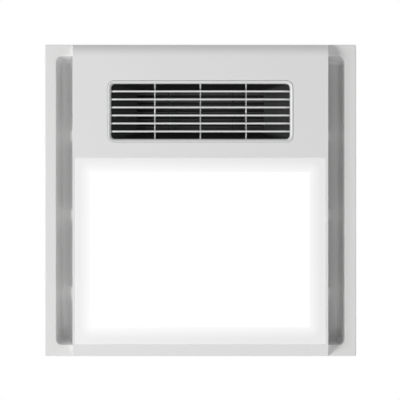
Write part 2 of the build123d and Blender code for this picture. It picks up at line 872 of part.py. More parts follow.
# Mounting tub: four walls on the border, top plate with the hanging holes
tub_open_width = 2 * (box_half_width - tub_ledge)
tub_open_length = box_high_y - box_low_y - 2 * tub_ledge
with BuildPart() as mounting_tub:
    with BuildSketch(Plane.XY):
        RectangleRounded(tub_size, tub_length, tub_corner_radius)
        RectangleRounded(
            tub_size - 2 * sheet, tub_length - 2 * sheet, tub_corner_radius - sheet, mode=Mode.SUBTRACT
        )
    extrude(amount=plate_low)
    with BuildSketch(Plane.XY.offset(plate_low - sheet)):
        RectangleRounded(tub_size, tub_length, tub_corner_radius)
        with Locations((0, box_middle_y)):
            Rectangle(tub_open_width, tub_open_length, mode=Mode.SUBTRACT)
        with GridLocations(hanging_x, hanging_y, 2, 2):
            Circle(hanging_hole_radius, mode=Mode.SUBTRACT)
        with Locations(*housing_screw_places, earth_place):
            Circle(housing_shank_radius + screw_gap, mode=Mode.SUBTRACT)
        with Locations(*driver_screw_places):
            Circle(small_shank_radius + screw_gap, mode=Mode.SUBTRACT)
    extrude(amount=sheet)
write(mounting_tub, "mounting_tub")

# Stud clips under the top plate of the tub
with BuildPart() as stud_clips:
    with BuildSketch(Plane.XY.offset(plate_low - sheet)):
        with GridLocations(*stud_spacing, 2, 2):
            RectangleRounded(clip_size, clip_size, sheet)
            Circle(stud_radius + clip_gap, mode=Mode.SUBTRACT)
    extrude(amount=-clip_height)
write(stud_clips, "stud_clips")

# Base plate: floor of the housing box, open at the heater and at the fan inlet
with BuildPart() as base_plate:
    with BuildSketch(Plane.XY.offset(plate_low)):
        with Locations((0, box_middle_y)):
            RectangleRounded(
                2 * (box_half_width + box_flange),
                box_high_y - box_low_y + 2 * box_flange,
                box_corner_radius,
            )
        with Locations((0, outlet_y)):
            Rectangle(louvre_frame_length, louvre_frame_width, mode=Mode.SUBTRACT)
        with Locations((0, blower_y)):
            Circle(inlet_radius + inlet_flare, mode=Mode.SUBTRACT)
        with Locations(*housing_screw_places):
            Circle(housing_shank_radius + screw_gap, mode=Mode.SUBTRACT)
    extrude(amount=sheet)
write(base_plate, "base_plate")

# Housing box: open below, flanged, with the duct hole and the damper's shaft holes
with BuildPart() as housing_box:
    with BuildSketch(Plane.XY.offset(plate_top)):
        with Locations((0, box_middle_y)):
            RectangleRounded(2 * box_half_width, box_high_y - box_low_y, box_corner_radius)
    extrude(amount=box_height)
    with BuildSketch(Plane.XY.offset(plate_top)):
        with Locations((0, box_middle_y)):
            RectangleRounded(
                2 * (box_half_width + box_flange),
                box_high_y - box_low_y + 2 * box_flange,
                box_corner_radius,
            )
        with Locations(*housing_screw_places):
            Circle(housing_shank_radius + screw_gap, mode=Mode.SUBTRACT)
    extrude(amount=sheet)
    with BuildSketch(Plane.XY.offset(plate_top)):
        with Locations((0, box_middle_y)):
            RectangleRounded(
                2 * (box_half_width - sheet), box_high_y - box_low_y - 2 * sheet, box_corner_radius - sheet
            )
    extrude(amount=box_height - sheet, mode=Mode.SUBTRACT)
    with BuildSketch(Plane.XZ.offset(-box_low_y - cut_over - sheet)):
        with Locations((0, collar_z)):
            Circle(collar_radius + screw_gap)
            with GridLocations(collar_screw_spacing, collar_screw_spacing, 2, 2):
                Circle(small_shank_radius + screw_gap)
    extrude(amount=2 * cut_over + sheet, mode=Mode.SUBTRACT)
    with BuildSketch(Plane.YZ):
        with Locations((damper_pivot_y, damper_pivot_z)):
            Circle(bush_radius + screw_gap)
    extrude(amount=box_half_width + cut_over, both=True, mode=Mode.SUBTRACT)
write(housing_box, "housing_box")

screw_group(
    "housing_screws",
    Plane.XY.offset(plate_top + sheet),
    [*housing_screw_places, (*earth_place, -sheet)],
    housing_head_radius,
    housing_head_height,
    housing_shank_radius,
    2 * sheet + housing_head_height,
)

# Partition between the fan and the outlet chamber
scroll_low = plate_top + inlet_height - 2 * sheet
with BuildPart() as partition:
    with BuildSketch(Plane.XZ.offset(-scroll_outlet_y)):
        with Locations((0, (plate_top + box_top - sheet) / 2)):
            Rectangle(2 * (box_half_width - sheet), box_height - sheet)
        with Locations(
            ((scroll_tongue_x + scroll_end_radius) / 2, scroll_low + scroll_height / 2),
        ):
            Rectangle(
                scroll_end_radius - scroll_tongue_x, scroll_height - 2 * sheet, mode=Mode.SUBTRACT
            )
    extrude(amount=sheet)
write(partition, "partition")

# Inlet ring: flared throat from the base plate to the scroll, with a shoulder that carries the scroll
ring_top = scroll_low + 2 * sheet
blower_axis = Axis((0, blower_y, 0), (0, 0, 1))
with BuildPart() as inlet_ring:
    with BuildSketch(Plane.XZ.offset(-blower_y)):
        with BuildLine():
            Polyline(
                (inlet_radius + inlet_flare + inlet_flange, plate_top),
                (inlet_radius + inlet_flare + inlet_flange, plate_top + sheet),
                (inlet_radius + inlet_flare + sheet, plate_top + sheet),
            )
            EllipticalCenterArc(
                (inlet_radius + inlet_flare + sheet, scroll_low - sheet),
                inlet_flare,
                scroll_low - plate_top - 2 * sheet,
                start_angle=half_turn,
                arc_size=quarter_turn,
            )
            Polyline(
                (inlet_radius + sheet, scroll_low - sheet),
                (inlet_radius + inlet_shoulder, scroll_low - sheet),
                (inlet_radius + inlet_shoulder, scroll_low),
                (inlet_radius + sheet, scroll_low),
                (inlet_radius + sheet, ring_top),
                (inlet_radius, ring_top),
                (inlet_radius, scroll_low - sheet),
            )
            EllipticalCenterArc(
                (inlet_radius + inlet_flare, scroll_low - sheet),
                inlet_flare,
                scroll_low - plate_top - sheet,
                start_angle=half_turn,
                arc_size=quarter_turn,
            )
            Line(
                (inlet_radius + inlet_flare, plate_top),
                (inlet_radius + inlet_flare + inlet_flange, plate_top),
            )
        make_face()
    revolve(axis=blower_axis)
write(inlet_ring, "inlet_ring")

# Blower scroll: spiral casing whose outlet meets the partition
spiral = []
for step in range(scroll_steps + 1):
    share = step / scroll_steps
    angle = radians(-quarter_turn - scroll_turn * share)
    radius = scroll_start_radius + (scroll_end_radius - scroll_start_radius) * share
    spiral.append((radius * cos(angle), blower_y + radius * sin(angle)))
scroll_top = scroll_low + scroll_height
with BuildSketch() as scroll_inside:
    with BuildLine():
        heading = Vector(-1, 0)
        for start, end in zip(spiral, spiral[1:]):
            wall_arc = TangentArc(start, end, tangent=heading)
            heading = wall_arc % 1
        Polyline(
            spiral[-1], (scroll_end_radius, scroll_outlet_y), (scroll_tongue_x, scroll_outlet_y), spiral[0]
        )
    make_face()
with BuildPart() as blower_scroll:
    with BuildSketch(Plane.XY.offset(scroll_low)):
        add(scroll_inside.sketch)
        offset(amount=sheet)
        with Locations((0, scroll_outlet_y - sheet)):
            Rectangle(4 * scroll_end_radius, 2 * sheet, mode=Mode.SUBTRACT)
    extrude(amount=scroll_height)
    with BuildSketch(Plane.XY.offset(scroll_low + sheet)):
        add(scroll_inside.sketch)
    extrude(amount=scroll_height - 2 * sheet, mode=Mode.SUBTRACT)
    with BuildSketch(Plane.XY.offset(scroll_low - cut_over)):
        with Locations((0, blower_y)):
            Circle(inlet_radius + sheet + slide_gap)
    extrude(amount=sheet + 2 * cut_over, mode=Mode.SUBTRACT)
    with BuildSketch(Plane.XY.offset(scroll_top - sheet - cut_over)):
        with Locations((0, blower_y)):
            Circle(scroll_roof_hole)
            with Locations(*rubber_mount_places):
                Circle(small_shank_radius + screw_gap)
    extrude(amount=sheet + 2 * cut_over, mode=Mode.SUBTRACT)
write(blower_scroll, "blower_scroll")

# Impeller: inlet ring, back plate, hub and forward-curved blades
impeller_low = scroll_low + impeller_lift
impeller_top = impeller_low + impeller_height
blade_low_radius = impeller_inner_radius + impeller_blade_thickness
blade_high_radius = impeller_radius - impeller_blade_thickness
blade_mid_radius = (blade_low_radius + blade_high_radius) / 2
blade_end_angle = radians(impeller_blade_sweep)
blade_mid_angle = blade_end_angle * impeller_bow_share
with BuildSketch() as blade_section:
    with BuildLine():
        ThreePointArc(
            (blade_low_radius, 0),
            (blade_mid_radius * cos(blade_mid_angle), blade_mid_radius * sin(blade_mid_angle)),
            (blade_high_radius * cos(blade_end_angle), blade_high_radius * sin(blade_end_angle)),
        )
    trace(line_width=impeller_blade_thickness)
with BuildPart() as impeller:
    with BuildSketch(Plane.XY.offset(impeller_low)):
        with Locations((0, blower_y)):
            Circle(impeller_radius)
            Circle(impeller_radius - impeller_ring_width, mode=Mode.SUBTRACT)
    extrude(amount=impeller_plate)
    with BuildSketch(Plane.XY.offset(impeller_low)):
        with Locations((0, blower_y)):
            with PolarLocations(0, impeller_blades):
                add(blade_section.sketch)
    extrude(amount=impeller_height)
    with BuildSketch(Plane.XY.offset(impeller_top)):
        with Locations((0, blower_y)):
            Circle(impeller_radius)
    extrude(amount=-impeller_plate)
    with BuildSketch(Plane.XY.offset(impeller_top)):
        with Locations((0, blower_y)):
            Circle(hub_radius)
    extrude(amount=-hub_length)
    with BuildSketch(Plane.XY.offset(impeller_top)):
        with Locations((0, blower_y)):
            Circle(shaft_radius + seat_gap)
    extrude(amount=-hub_length, mode=Mode.SUBTRACT)
write(impeller, "impeller")

# Motor shaft, with the nut that holds the impeller on it
shaft_low = impeller_top - hub_length - shaft_below_hub
motor_low = scroll_top + rubber_mount_height + bracket_thickness
with BuildPart() as motor_shaft:
    with BuildSketch(Plane.XY.offset(shaft_low)):
        with Locations((0, blower_y)):
            Circle(shaft_radius)
    extrude(amount=motor_low + shaft_in_motor - shaft_low)
write(motor_shaft, "motor_shaft")

with BuildPart() as impeller_nut:
    with BuildSketch(Plane.XY.offset(impeller_top - hub_length)):
        with Locations((0, blower_y)):
            RegularPolygon(nut_radius, 6)
            Circle(shaft_radius + seat_gap, mode=Mode.SUBTRACT)
    extrude(amount=-shaft_below_hub)
write(impeller_nut, "impeller_nut")

# Motor with its lower boss and the vent slots in its top
with BuildPart() as motor_body:
    with BuildSketch(Plane.XY.offset(motor_low)):
        with Locations((0, blower_y)):
            Circle(motor_radius)
    extrude(amount=motor_height)
    fillet(motor_body.faces().sort_by(Axis.Z)[-1].edges(), radius=motor_edge_radius)
    with BuildSketch(Plane.XY.offset(motor_low)):
        with Locations((0, blower_y)):
            Circle(motor_boss_radius)
    extrude(amount=-motor_boss_height)
    with BuildSketch(Plane.XY.offset(motor_low + motor_height)):
        with Locations((0, blower_y)):
            with PolarLocations(motor_radius * vent_circle_share, vent_slot_count):
                SlotOverall(vent_slot_length, vent_slot_width)
    extrude(amount=-vent_slot_width, mode=Mode.SUBTRACT)
    with BuildSketch(Plane.XY.offset(motor_low - motor_boss_height)):
        with Locations((0, blower_y)):
            Circle(shaft_radius + running_gap)
    extrude(amount=motor_boss_height + shaft_in_motor + slide_gap, mode=Mode.SUBTRACT)
write(motor_body, "motor_body")

# Motor bracket on four rubber mounts over the scroll
with BuildPart() as motor_bracket:
    with BuildSketch(Plane.XY.offset(motor_low)):
        with Locations((0, blower_y)):
            Circle(bracket_radius)
            Circle(bracket_hole_radius, mode=Mode.SUBTRACT)
            with Locations(*rubber_mount_places):
                Circle(small_shank_radius + screw_gap, mode=Mode.SUBTRACT)
    extrude(amount=-bracket_thickness)
write(motor_bracket, "motor_bracket")

with BuildPart() as rubber_mounts:
    with BuildSketch(Plane.XY.offset(scroll_top)):
        with Locations((0, blower_y)):
            with Locations(*rubber_mount_places):
                Circle(rubber_mount_radius)
                Circle(small_shank_radius + screw_gap, mode=Mode.SUBTRACT)
    extrude(amount=rubber_mount_height)
write(rubber_mounts, "rubber_mounts")

screw_group(
    "motor_screws",
    Plane.XY.offset(motor_low),
    [(x, blower_y + y) for x, y in rubber_mount_places],
    small_head_radius,
    small_head_height,
    small_shank_radius,
    motor_screw_length,
)

# Heater frame over the outlet, with ledges under the core and slots for the terminals
core_low = plate_top + heater_core_lift
core_middle = core_low + heater_core_height / 2
bar_places = [
    outlet_y + (index - (heater_bar_count - 1) / 2) * heater_bar_pitch for index in range(heater_bar_count)
]
heater_half = louvre_half + heater_wall
with BuildPart() as heater_frame:
    add(
        outlet_ring(
            (2 * heater_half, louvre_frame_width + 2 * heater_wall),
            (louvre_frame_length, louvre_frame_width),
            plate_top,
            heater_height,
            heater_wall,
        )
    )
    add(
        outlet_ring(
            (
                2 * (heater_half + heater_flange),
                louvre_frame_width + 2 * (heater_wall + slide_gap),
            ),
            (louvre_frame_length, louvre_frame_width),
            plate_top,
            heater_flange_thickness,
            heater_wall,
        )
    )
    with BuildSketch(Plane.XY.offset(core_low)):
        with Locations((0, outlet_y)):
            with GridLocations(louvre_frame_length - heater_ledge, 0, 2, 1):
                Rectangle(heater_ledge, louvre_frame_width)
    extrude(amount=-heater_ledge)
    with BuildSketch(Plane.YZ.offset(louvre_half)):
        with Locations(*[(bar_y, core_middle) for bar_y in bar_places]):
            Rectangle(terminal_thickness + 2 * slide_gap, terminal_width + 2 * slide_gap)
    extrude(amount=heater_wall + cut_over, mode=Mode.SUBTRACT)
write(heater_frame, "heater_frame")

# Heater bars, the corrugated fins between them and the terminals at one end
with BuildPart() as heater_bars:
    with BuildSketch(Plane.XY.offset(core_low)):
        with Locations(*[(0, bar_y) for bar_y in bar_places]):
            Rectangle(louvre_frame_length, heater_bar_width)
    extrude(amount=heater_core_height)
write(heater_bars, "heater_bars")

inner_gap = heater_bar_pitch - heater_bar_width
outer_gap = louvre_frame_width / 2 - heater_bar_pitch - heater_bar_width / 2
fin_rows = [
    (bar_places[0] - heater_bar_width / 2 - outer_gap / 2, outer_gap),
    ((bar_places[0] + bar_places[1]) / 2, inner_gap),
    ((bar_places[1] + bar_places[2]) / 2, inner_gap),
    (bar_places[2] + heater_bar_width / 2 + outer_gap / 2, outer_gap),
]
fin_half_pitches = int((louvre_frame_length - 2 * fin_pitch) / (fin_pitch / 2))
with BuildPart() as heater_fins:
    for row_y, row_width in fin_rows:
        fold = [
            ((index - fin_half_pitches / 2) * fin_pitch / 2, row_y + (-1) ** index * row_width / 2)
            for index in range(fin_half_pitches + 1)
        ]
        with BuildSketch(Plane.XY.offset(core_low)):
            with BuildLine():
                Polyline(*fold)
            trace(line_width=fin_thickness)
            with Locations((0, row_y)):
                Rectangle(louvre_frame_length, row_width, mode=Mode.INTERSECT)
        extrude(amount=heater_core_height)
write(heater_fins, "heater_fins")

with BuildPart() as heater_terminals:
    with BuildSketch(Plane.YZ.offset(louvre_half)):
        with Locations(*[(bar_y, core_middle) for bar_y in bar_places]):
            Rectangle(terminal_thickness, terminal_width)
    extrude(amount=terminal_reach)
write(heater_terminals, "heater_terminals")

# Thermal cut-out on the -X wall of the heater frame
with BuildPart() as thermal_cutout:
    with BuildSketch(Plane.YZ.offset(-heater_half)):
        with Locations((outlet_y, core_middle)):
            Circle(cutout_radius)
    extrude(amount=-cutout_length)
    with BuildSketch(Plane.YZ.offset(-heater_half - cutout_length)):
        with Locations((outlet_y, core_middle)):
            with GridLocations(cutout_radius, 0, 2, 1):
                Rectangle(terminal_thickness, terminal_width)
    extrude(amount=-terminal_width)
write(thermal_cutout, "thermal_cutout")

# Changeover damper: plate with a rolled sleeve, on its shaft, with a foam pad on each face
damper_front = damper_pivot_y - damper_thickness / 2
damper_back = damper_pivot_y + damper_thickness / 2
with BuildPart() as changeover_damper:
    with BuildSketch(Plane.XZ.offset(-damper_back)):
        with Locations((0, damper_pivot_z + damper_length / 2)):
            Rectangle(damper_width, damper_length)
    extrude(amount=damper_thickness)
    with BuildSketch(Plane.YZ):
        with Locations((damper_pivot_y, damper_pivot_z)):
            Circle(damper_sleeve_radius)
    extrude(amount=damper_width / 2, both=True)
    with BuildSketch(Plane.YZ):
        with Locations((damper_pivot_y, damper_pivot_z)):
            Circle(damper_shaft_radius + seat_gap)
    extrude(amount=damper_width / 2 + cut_over, both=True, mode=Mode.SUBTRACT)
write(changeover_damper, "changeover_damper")

with BuildPart() as damper_shaft:
    with BuildSketch(Plane.YZ.offset(-box_half_width)):
        with Locations((damper_pivot_y, damper_pivot_z)):
            Circle(damper_shaft_radius)
    extrude(amount=2 * box_half_width + damper_shaft_reach)
write(damper_shaft, "damper_shaft")

pad_half = heater_half + damper_pad_overlap
pad_far = outlet_y + louvre_frame_width / 2 + heater_wall + damper_pad_overlap - damper_pivot_y
pad_near = damper_sleeve_radius + damper_pad_overlap
with BuildPart() as damper_pads:
    with BuildSketch(Plane.XZ.offset(-damper_front)):
        with Locations((0, collar_z)):
            Circle(collar_radius + collar_seal_gap + collar_seal_width)
            Circle(collar_radius + collar_seal_gap, mode=Mode.SUBTRACT)
    extrude(amount=damper_seal_thickness)
    with BuildSketch(Plane.XZ.offset(-damper_back)):
        with Locations((0, damper_pivot_z + (pad_near + pad_far) / 2)):
            Rectangle(2 * pad_half, pad_far - pad_near)
        with Locations((0, damper_pivot_z + (pad_near + pad_far) / 2 - damper_pad_width)):
            Rectangle(2 * (pad_half - damper_pad_width), pad_far - pad_near, mode=Mode.SUBTRACT)
    extrude(amount=-damper_pad_thickness)
write(damper_pads, "damper_pads")

with BuildPart() as damper_bushes:
    for side in (-1, 1):
        with BuildSketch(Plane.YZ.offset(side * box_half_width)):
            with Locations((damper_pivot_y, damper_pivot_z)):
                Circle(bush_radius)
                Circle(damper_shaft_radius + running_gap, mode=Mode.SUBTRACT)
        extrude(amount=-side * bush_length)
write(damper_bushes, "damper_bushes")

# Damper motor on the outside of the housing box
with BuildPart() as damper_motor:
    with BuildSketch(Plane.YZ.offset(box_half_width)):
        with Locations((damper_pivot_y, damper_pivot_z)):
            Circle(damper_motor_radius)
    extrude(amount=damper_motor_length)
    fillet(damper_motor.faces().sort_by(Axis.X)[-1].edges(), radius=damper_motor_edge_radius)
    with BuildSketch(Plane.YZ.offset(box_half_width)):
        with Locations((damper_pivot_y, damper_pivot_z)):
            Circle(damper_shaft_radius + running_gap)
    extrude(amount=damper_shaft_reach + slide_gap, mode=Mode.SUBTRACT)
write(damper_motor, "damper_motor")

# Exhaust collar: spigot with a square flange on the housing box
flap_pin_y = box_low_y - flap_pin_setback
with BuildPart() as exhaust_collar:
    with BuildSketch(Plane.XZ.offset(-box_low_y - sheet)):
        with Locations((0, collar_z)):
            Circle(collar_radius)
    extrude(amount=2 * sheet + collar_length)
    with BuildSketch(Plane.XZ.offset(-box_low_y)):
        with Locations((0, collar_z)):
            RectangleRounded(collar_flange, collar_flange, collar_flange_corner_radius)
            with GridLocations(collar_screw_spacing, collar_screw_spacing, 2, 2):
                Circle(small_shank_radius + screw_gap, mode=Mode.SUBTRACT)
    extrude(amount=sheet)
    with BuildSketch(Plane.XZ.offset(-box_low_y - sheet)):
        with Locations((0, collar_z)):
            Circle(collar_radius - collar_wall)
    extrude(amount=2 * sheet + collar_length, mode=Mode.SUBTRACT)
    with BuildSketch(Plane.XY.offset(collar_z)):
        with Locations((0, flap_pin_y)):
            Circle(flap_pin_radius + seat_gap)
    extrude(amount=collar_radius + cut_over, both=True, mode=Mode.SUBTRACT)
write(exhaust_collar, "exhaust_collar")

collar_screw_places = [
    (x * collar_screw_spacing / 2, collar_z + z * collar_screw_spacing / 2) for x in (-1, 1) for z in (-1, 1)
]
screw_group(
    "collar_screws",
    Plane.XZ.offset(-box_low_y + sheet),
    collar_screw_places,
    small_head_radius,
    small_head_height,
    small_shank_radius,
    collar_screw_length,
)

# Backdraught flaps: two half discs whose knuckles alternate on one upright pin
with BuildPart() as flap_pin:
    with BuildSketch(Plane.XY.offset(collar_z)):
        with Locations((0, flap_pin_y)):
            Circle(flap_pin_radius)
    extrude(amount=collar_radius, both=True)
write(flap_pin, "flap_pin")

flap_radius = collar_radius - collar_wall - flap_gap
knuckle_radius = flap_pin_radius + running_gap + flap_knuckle_wall
flap_edge = knuckle_radius + flap_edge_gap
flap_sides = {
    "flap_left": (-1, flap_knuckle_pitch + flap_knuckle_pitch / 2),
    "flap_right": (1, flap_knuckle_pitch / 2),
}
for flap_name, (side, knuckle_z) in flap_sides.items():
    with BuildPart() as flap:
        with BuildSketch(Plane.XZ.offset(-flap_pin_y - flap_offset - flap_thickness)):
            with Locations((0, collar_z)):
                Circle(flap_radius)
            with Locations((side * (flap_edge + flap_radius / 2), collar_z)):
                Rectangle(flap_radius, 2 * flap_radius, mode=Mode.INTERSECT)
            with Locations(
                (side * flap_edge / 2, collar_z - knuckle_z), (side * flap_edge / 2, collar_z + knuckle_z)
            ):
                Rectangle(flap_edge, flap_knuckle_length)
        extrude(amount=flap_thickness)
        for place in (-knuckle_z, knuckle_z):
            with BuildSketch(Plane.XY.offset(collar_z + place)):
                with Locations((0, flap_pin_y)):
                    Circle(knuckle_radius)
            extrude(amount=flap_knuckle_length / 2, both=True)
        with BuildSketch(Plane.XY.offset(collar_z)):
            with Locations((0, flap_pin_y)):
                Circle(flap_pin_radius + running_gap)
        extrude(amount=flap_radius, both=True, mode=Mode.SUBTRACT)
    write(flap, flap_name)

# Terminal box on the +X ledge of the tub, with rails for the board
ledge_x = tub_size / 2 - ledge_part_inset - terminal_box_width / 2
terminal_box_floor = plate_low + terminal_box_wall
gland_z = plate_low + terminal_box_height / 2
inner_width = terminal_box_width - 2 * terminal_box_wall
inner_length = terminal_box_length - 2 * terminal_box_wall
board_length = inner_length - gland_inner_length - terminal_block_length - 2 * slide_gap - board_gap
capacitor_length = board_length - 2 * capacitor_end_gap
board_low = plate_low + board_lift
board_y = inner_length / 2 - board_length / 2 - slide_gap
with BuildPart() as terminal_box:
    with BuildSketch(Plane.XY.offset(plate_low)):
        with Locations((ledge_x, 0)):
            RectangleRounded(terminal_box_width, terminal_box_length, terminal_box_corner_radius)
    extrude(amount=terminal_box_height)
    with BuildSketch(Plane.XY.offset(terminal_box_floor)):
        with Locations((ledge_x, 0)):
            Rectangle(inner_width, inner_length)
    extrude(amount=terminal_box_height, mode=Mode.SUBTRACT)
    with BuildSketch(Plane.XY.offset(board_low)):
        with Locations((ledge_x, board_y)):
            with GridLocations(inner_width - board_rail, 0, 2, 1):
                Rectangle(board_rail, board_length)
    extrude(amount=-board_rail)
    with BuildSketch(Plane.XZ.offset(inner_length / 2)):
        with Locations((ledge_x, gland_z)):
            Circle(gland_thread_radius + screw_gap)
    extrude(amount=terminal_box_wall, mode=Mode.SUBTRACT)
write(terminal_box, "terminal_box")

with BuildPart() as terminal_box_cover:
    with BuildSketch(Plane.XY.offset(plate_low + terminal_box_height)):
        with Locations((ledge_x, 0)):
            RectangleRounded(terminal_box_width, terminal_box_length, terminal_box_corner_radius)
    extrude(amount=terminal_box_wall)
    with BuildSketch(Plane.XY.offset(plate_low + terminal_box_height)):
        with Locations((ledge_x, 0)):
            Rectangle(inner_width - 2 * slide_gap, inner_length - 2 * slide_gap)
    extrude(amount=-terminal_box_wall)
write(terminal_box_cover, "terminal_box_cover")

# Terminal block, run capacitor and control board inside the box
block_y = -inner_length / 2 + terminal_block_length / 2 + gland_inner_length + slide_gap
block_pitch = terminal_block_length / terminal_hole_count
with BuildPart() as terminal_block:
    with BuildSketch(Plane.XY.offset(terminal_box_floor)):
        with Locations((ledge_x, block_y)):
            Rectangle(terminal_block_width, terminal_block_length)
    extrude(amount=terminal_block_height)
    with BuildSketch(Plane.XY.offset(terminal_box_floor + terminal_block_height)):
        with Locations((ledge_x, block_y)):
            with GridLocations(terminal_block_width / 2, block_pitch, 2, terminal_hole_count):
                Circle(terminal_hole_radius)
    extrude(amount=-terminal_block_height / 2, mode=Mode.SUBTRACT)
write(terminal_block, "terminal_block")

with BuildPart() as run_capacitor:
    with BuildSketch(Plane.XZ.offset(-board_y + capacitor_length / 2)):
        with Locations((ledge_x, terminal_box_floor + capacitor_radius)):
            Circle(capacitor_radius)
    extrude(amount=-capacitor_length)
    fillet(run_capacitor.edges().filter_by(GeomType.CIRCLE), radius=capacitor_edge_radius)
write(run_capacitor, "run_capacitor")

with BuildPart() as control_board:
    with BuildSketch(Plane.XY.offset(board_low)):
        with Locations((ledge_x, board_y)):
            Rectangle(inner_width - 2 * slide_gap, board_length)
    extrude(amount=board_thickness)
    with BuildSketch(Plane.XY.offset(board_low + board_thickness)):
        with Locations((ledge_x, board_y)):
            with GridLocations(0, board_length / 2, 1, 2):
                Rectangle(relay_size, relay_size)
    extrude(amount=relay_height)
write(control_board, "control_board")

# Cable gland in the -Y wall of the terminal box
gland_wall_y = -terminal_box_length / 2
with BuildPart() as cable_gland:
    with BuildSketch(Plane.XZ.offset(-gland_wall_y)):
        with Locations((ledge_x, gland_z)):
            RegularPolygon(gland_nut / 2, 6, major_radius=False)
    extrude(amount=gland_nut_length)
    with BuildSketch(Plane.XZ.offset(-gland_wall_y)):
        with Locations((ledge_x, gland_z)):
            Circle(gland_radius)
    extrude(amount=gland_outer_length)
    fillet(
        cable_gland.faces().sort_by(Axis.Y)[0].edges(),
        radius=gland_edge_radius,
    )
    with BuildSketch(Plane.XZ.offset(-gland_wall_y)):
        with Locations((ledge_x, gland_z)):
            Circle(gland_thread_radius)
    extrude(amount=-terminal_box_wall - gland_inner_length)
    with BuildSketch(Plane.XZ.offset(-gland_wall_y - terminal_box_wall)):
        with Locations((ledge_x, gland_z)):
            RegularPolygon(gland_nut / 2, 6, major_radius=False)
    extrude(amount=-gland_inner_length + slide_gap)
    with BuildSketch(Plane.XZ.offset(-gland_wall_y + gland_outer_length)):
        with Locations((ledge_x, gland_z)):
            Circle(gland_bore_radius)
    extrude(
        amount=-gland_outer_length - terminal_box_wall - gland_inner_length, mode=Mode.SUBTRACT
    )
write(cable_gland, "cable_gland")

# Light driver on the -X ledge, with an ear and a screw at each end
with BuildPart() as led_driver:
    with BuildSketch(Plane.XY.offset(plate_low)):
        with Locations((-ledge_x, 0)):
            Rectangle(driver_width, driver_length)
    extrude(amount=driver_height)
    fillet(led_driver.faces().sort_by(Axis.Z)[-1].edges(), radius=driver_edge_radius)
    with BuildSketch(Plane.XY.offset(plate_low)):
        with Locations((-ledge_x, 0)):
            Rectangle(driver_ear_width, driver_length + 2 * driver_ear_length)
        with Locations(*driver_screw_places):
            Circle(small_shank_radius + screw_gap, mode=Mode.SUBTRACT)
    extrude(amount=driver_ear_thickness)
write(led_driver, "led_driver")

screw_group(
    "driver_screws",
    Plane.XY.offset(plate_low + driver_ear_thickness),
    driver_screw_places,
    small_head_radius,
    small_head_height,
    small_shank_radius,
    driver_ear_thickness + 2 * sheet,
)

# Earth tag on the ledge, under the last of the housing screws
with BuildPart() as earth_tag:
    with BuildSketch(Plane.XY.offset(plate_low)):
        with Locations(earth_place):
            SlotOverall(earth_tag_length, earth_tag_width)
            Circle(housing_shank_radius + screw_gap, mode=Mode.SUBTRACT)
    extrude(amount=sheet)
write(earth_tag, "earth_tag")
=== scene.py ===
"""Looks of the bathroom ceiling heater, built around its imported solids.

Lengths are in metres. The part hangs face down: z = 0 is the ceiling, -Z the room, and the grille is at the
-Y end of the face.
"""

import json
import math

import bmesh
import bpy
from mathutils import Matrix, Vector


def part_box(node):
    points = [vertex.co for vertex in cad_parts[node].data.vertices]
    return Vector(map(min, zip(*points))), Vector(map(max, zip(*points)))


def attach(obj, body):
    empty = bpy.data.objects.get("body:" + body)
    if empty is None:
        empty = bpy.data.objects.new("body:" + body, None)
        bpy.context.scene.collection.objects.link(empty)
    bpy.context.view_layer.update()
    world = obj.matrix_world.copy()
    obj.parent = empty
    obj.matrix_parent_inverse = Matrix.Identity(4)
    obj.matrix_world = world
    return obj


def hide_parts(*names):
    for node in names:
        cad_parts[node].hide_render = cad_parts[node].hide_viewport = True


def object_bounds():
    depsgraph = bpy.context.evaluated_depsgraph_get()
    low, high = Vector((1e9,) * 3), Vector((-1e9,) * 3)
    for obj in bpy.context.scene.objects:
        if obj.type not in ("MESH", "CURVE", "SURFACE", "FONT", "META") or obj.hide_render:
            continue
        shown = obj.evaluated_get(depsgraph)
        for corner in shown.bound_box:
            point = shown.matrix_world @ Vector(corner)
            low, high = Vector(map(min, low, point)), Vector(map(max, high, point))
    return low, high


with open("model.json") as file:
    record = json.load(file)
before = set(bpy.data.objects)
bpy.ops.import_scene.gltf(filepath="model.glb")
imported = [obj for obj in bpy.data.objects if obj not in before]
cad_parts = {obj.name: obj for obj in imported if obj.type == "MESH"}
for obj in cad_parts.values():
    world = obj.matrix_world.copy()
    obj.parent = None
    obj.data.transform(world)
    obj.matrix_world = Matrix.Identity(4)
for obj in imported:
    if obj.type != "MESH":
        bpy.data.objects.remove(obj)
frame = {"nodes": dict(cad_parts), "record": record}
cad_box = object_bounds()
nodes = frame["nodes"]
MM = 0.001
WHITE = (1.0, 1.0, 1.0, 1.0)

# How nearly two places and two directions have to agree, and how close points are that merge
NEAR = 0.01 * MM
ALIGNED = 0.999
TOUCHING = 0.001 * MM

# Light that the opal cover gives off at its border, at the edge of the full light and inside it
GLOW_BORDER = 0.12
GLOW_EDGE = 0.25
GLOW_FULL = 0.45


# Effects that several finishes share
def new_effect(name, values, results):
    """Empty node group with float inputs and the named outputs, and its input and output nodes."""
    group = bpy.data.node_groups.new(name, "ShaderNodeTree")
    for label, start in values.items():
        socket = group.interface.new_socket(label, in_out="INPUT", socket_type="NodeSocketFloat")
        socket.default_value = start
    for label, kind in results.items():
        group.interface.new_socket(label, in_out="OUTPUT", socket_type=kind)
    return group, group.nodes.new("NodeGroupInput"), group.nodes.new("NodeGroupOutput")


def fed(tree, socket, value):
    """Links a socket to the one given, or sets it to the number given."""
    if isinstance(value, bpy.types.NodeSocket):
        tree.links.new(value, socket)
    else:
        socket.default_value = value


def maths(tree, operation, *values):
    """Math node; each value is a socket or a number."""
    node = tree.nodes.new("ShaderNodeMath")
    node.operation = operation
    for place, value in enumerate(values):
        fed(tree, node.inputs[place], value)
    return node.outputs[0]


def spread(tree, value, low, high, start, end):
    """Map Range node from low..high to start..end."""
    node = tree.nodes.new("ShaderNodeMapRange")
    ranges = {"Value": value, "From Min": low, "From Max": high, "To Min": start, "To Max": end}
    for label, item in ranges.items():
        fed(tree, node.inputs[label], item)
    return node.outputs["Result"]


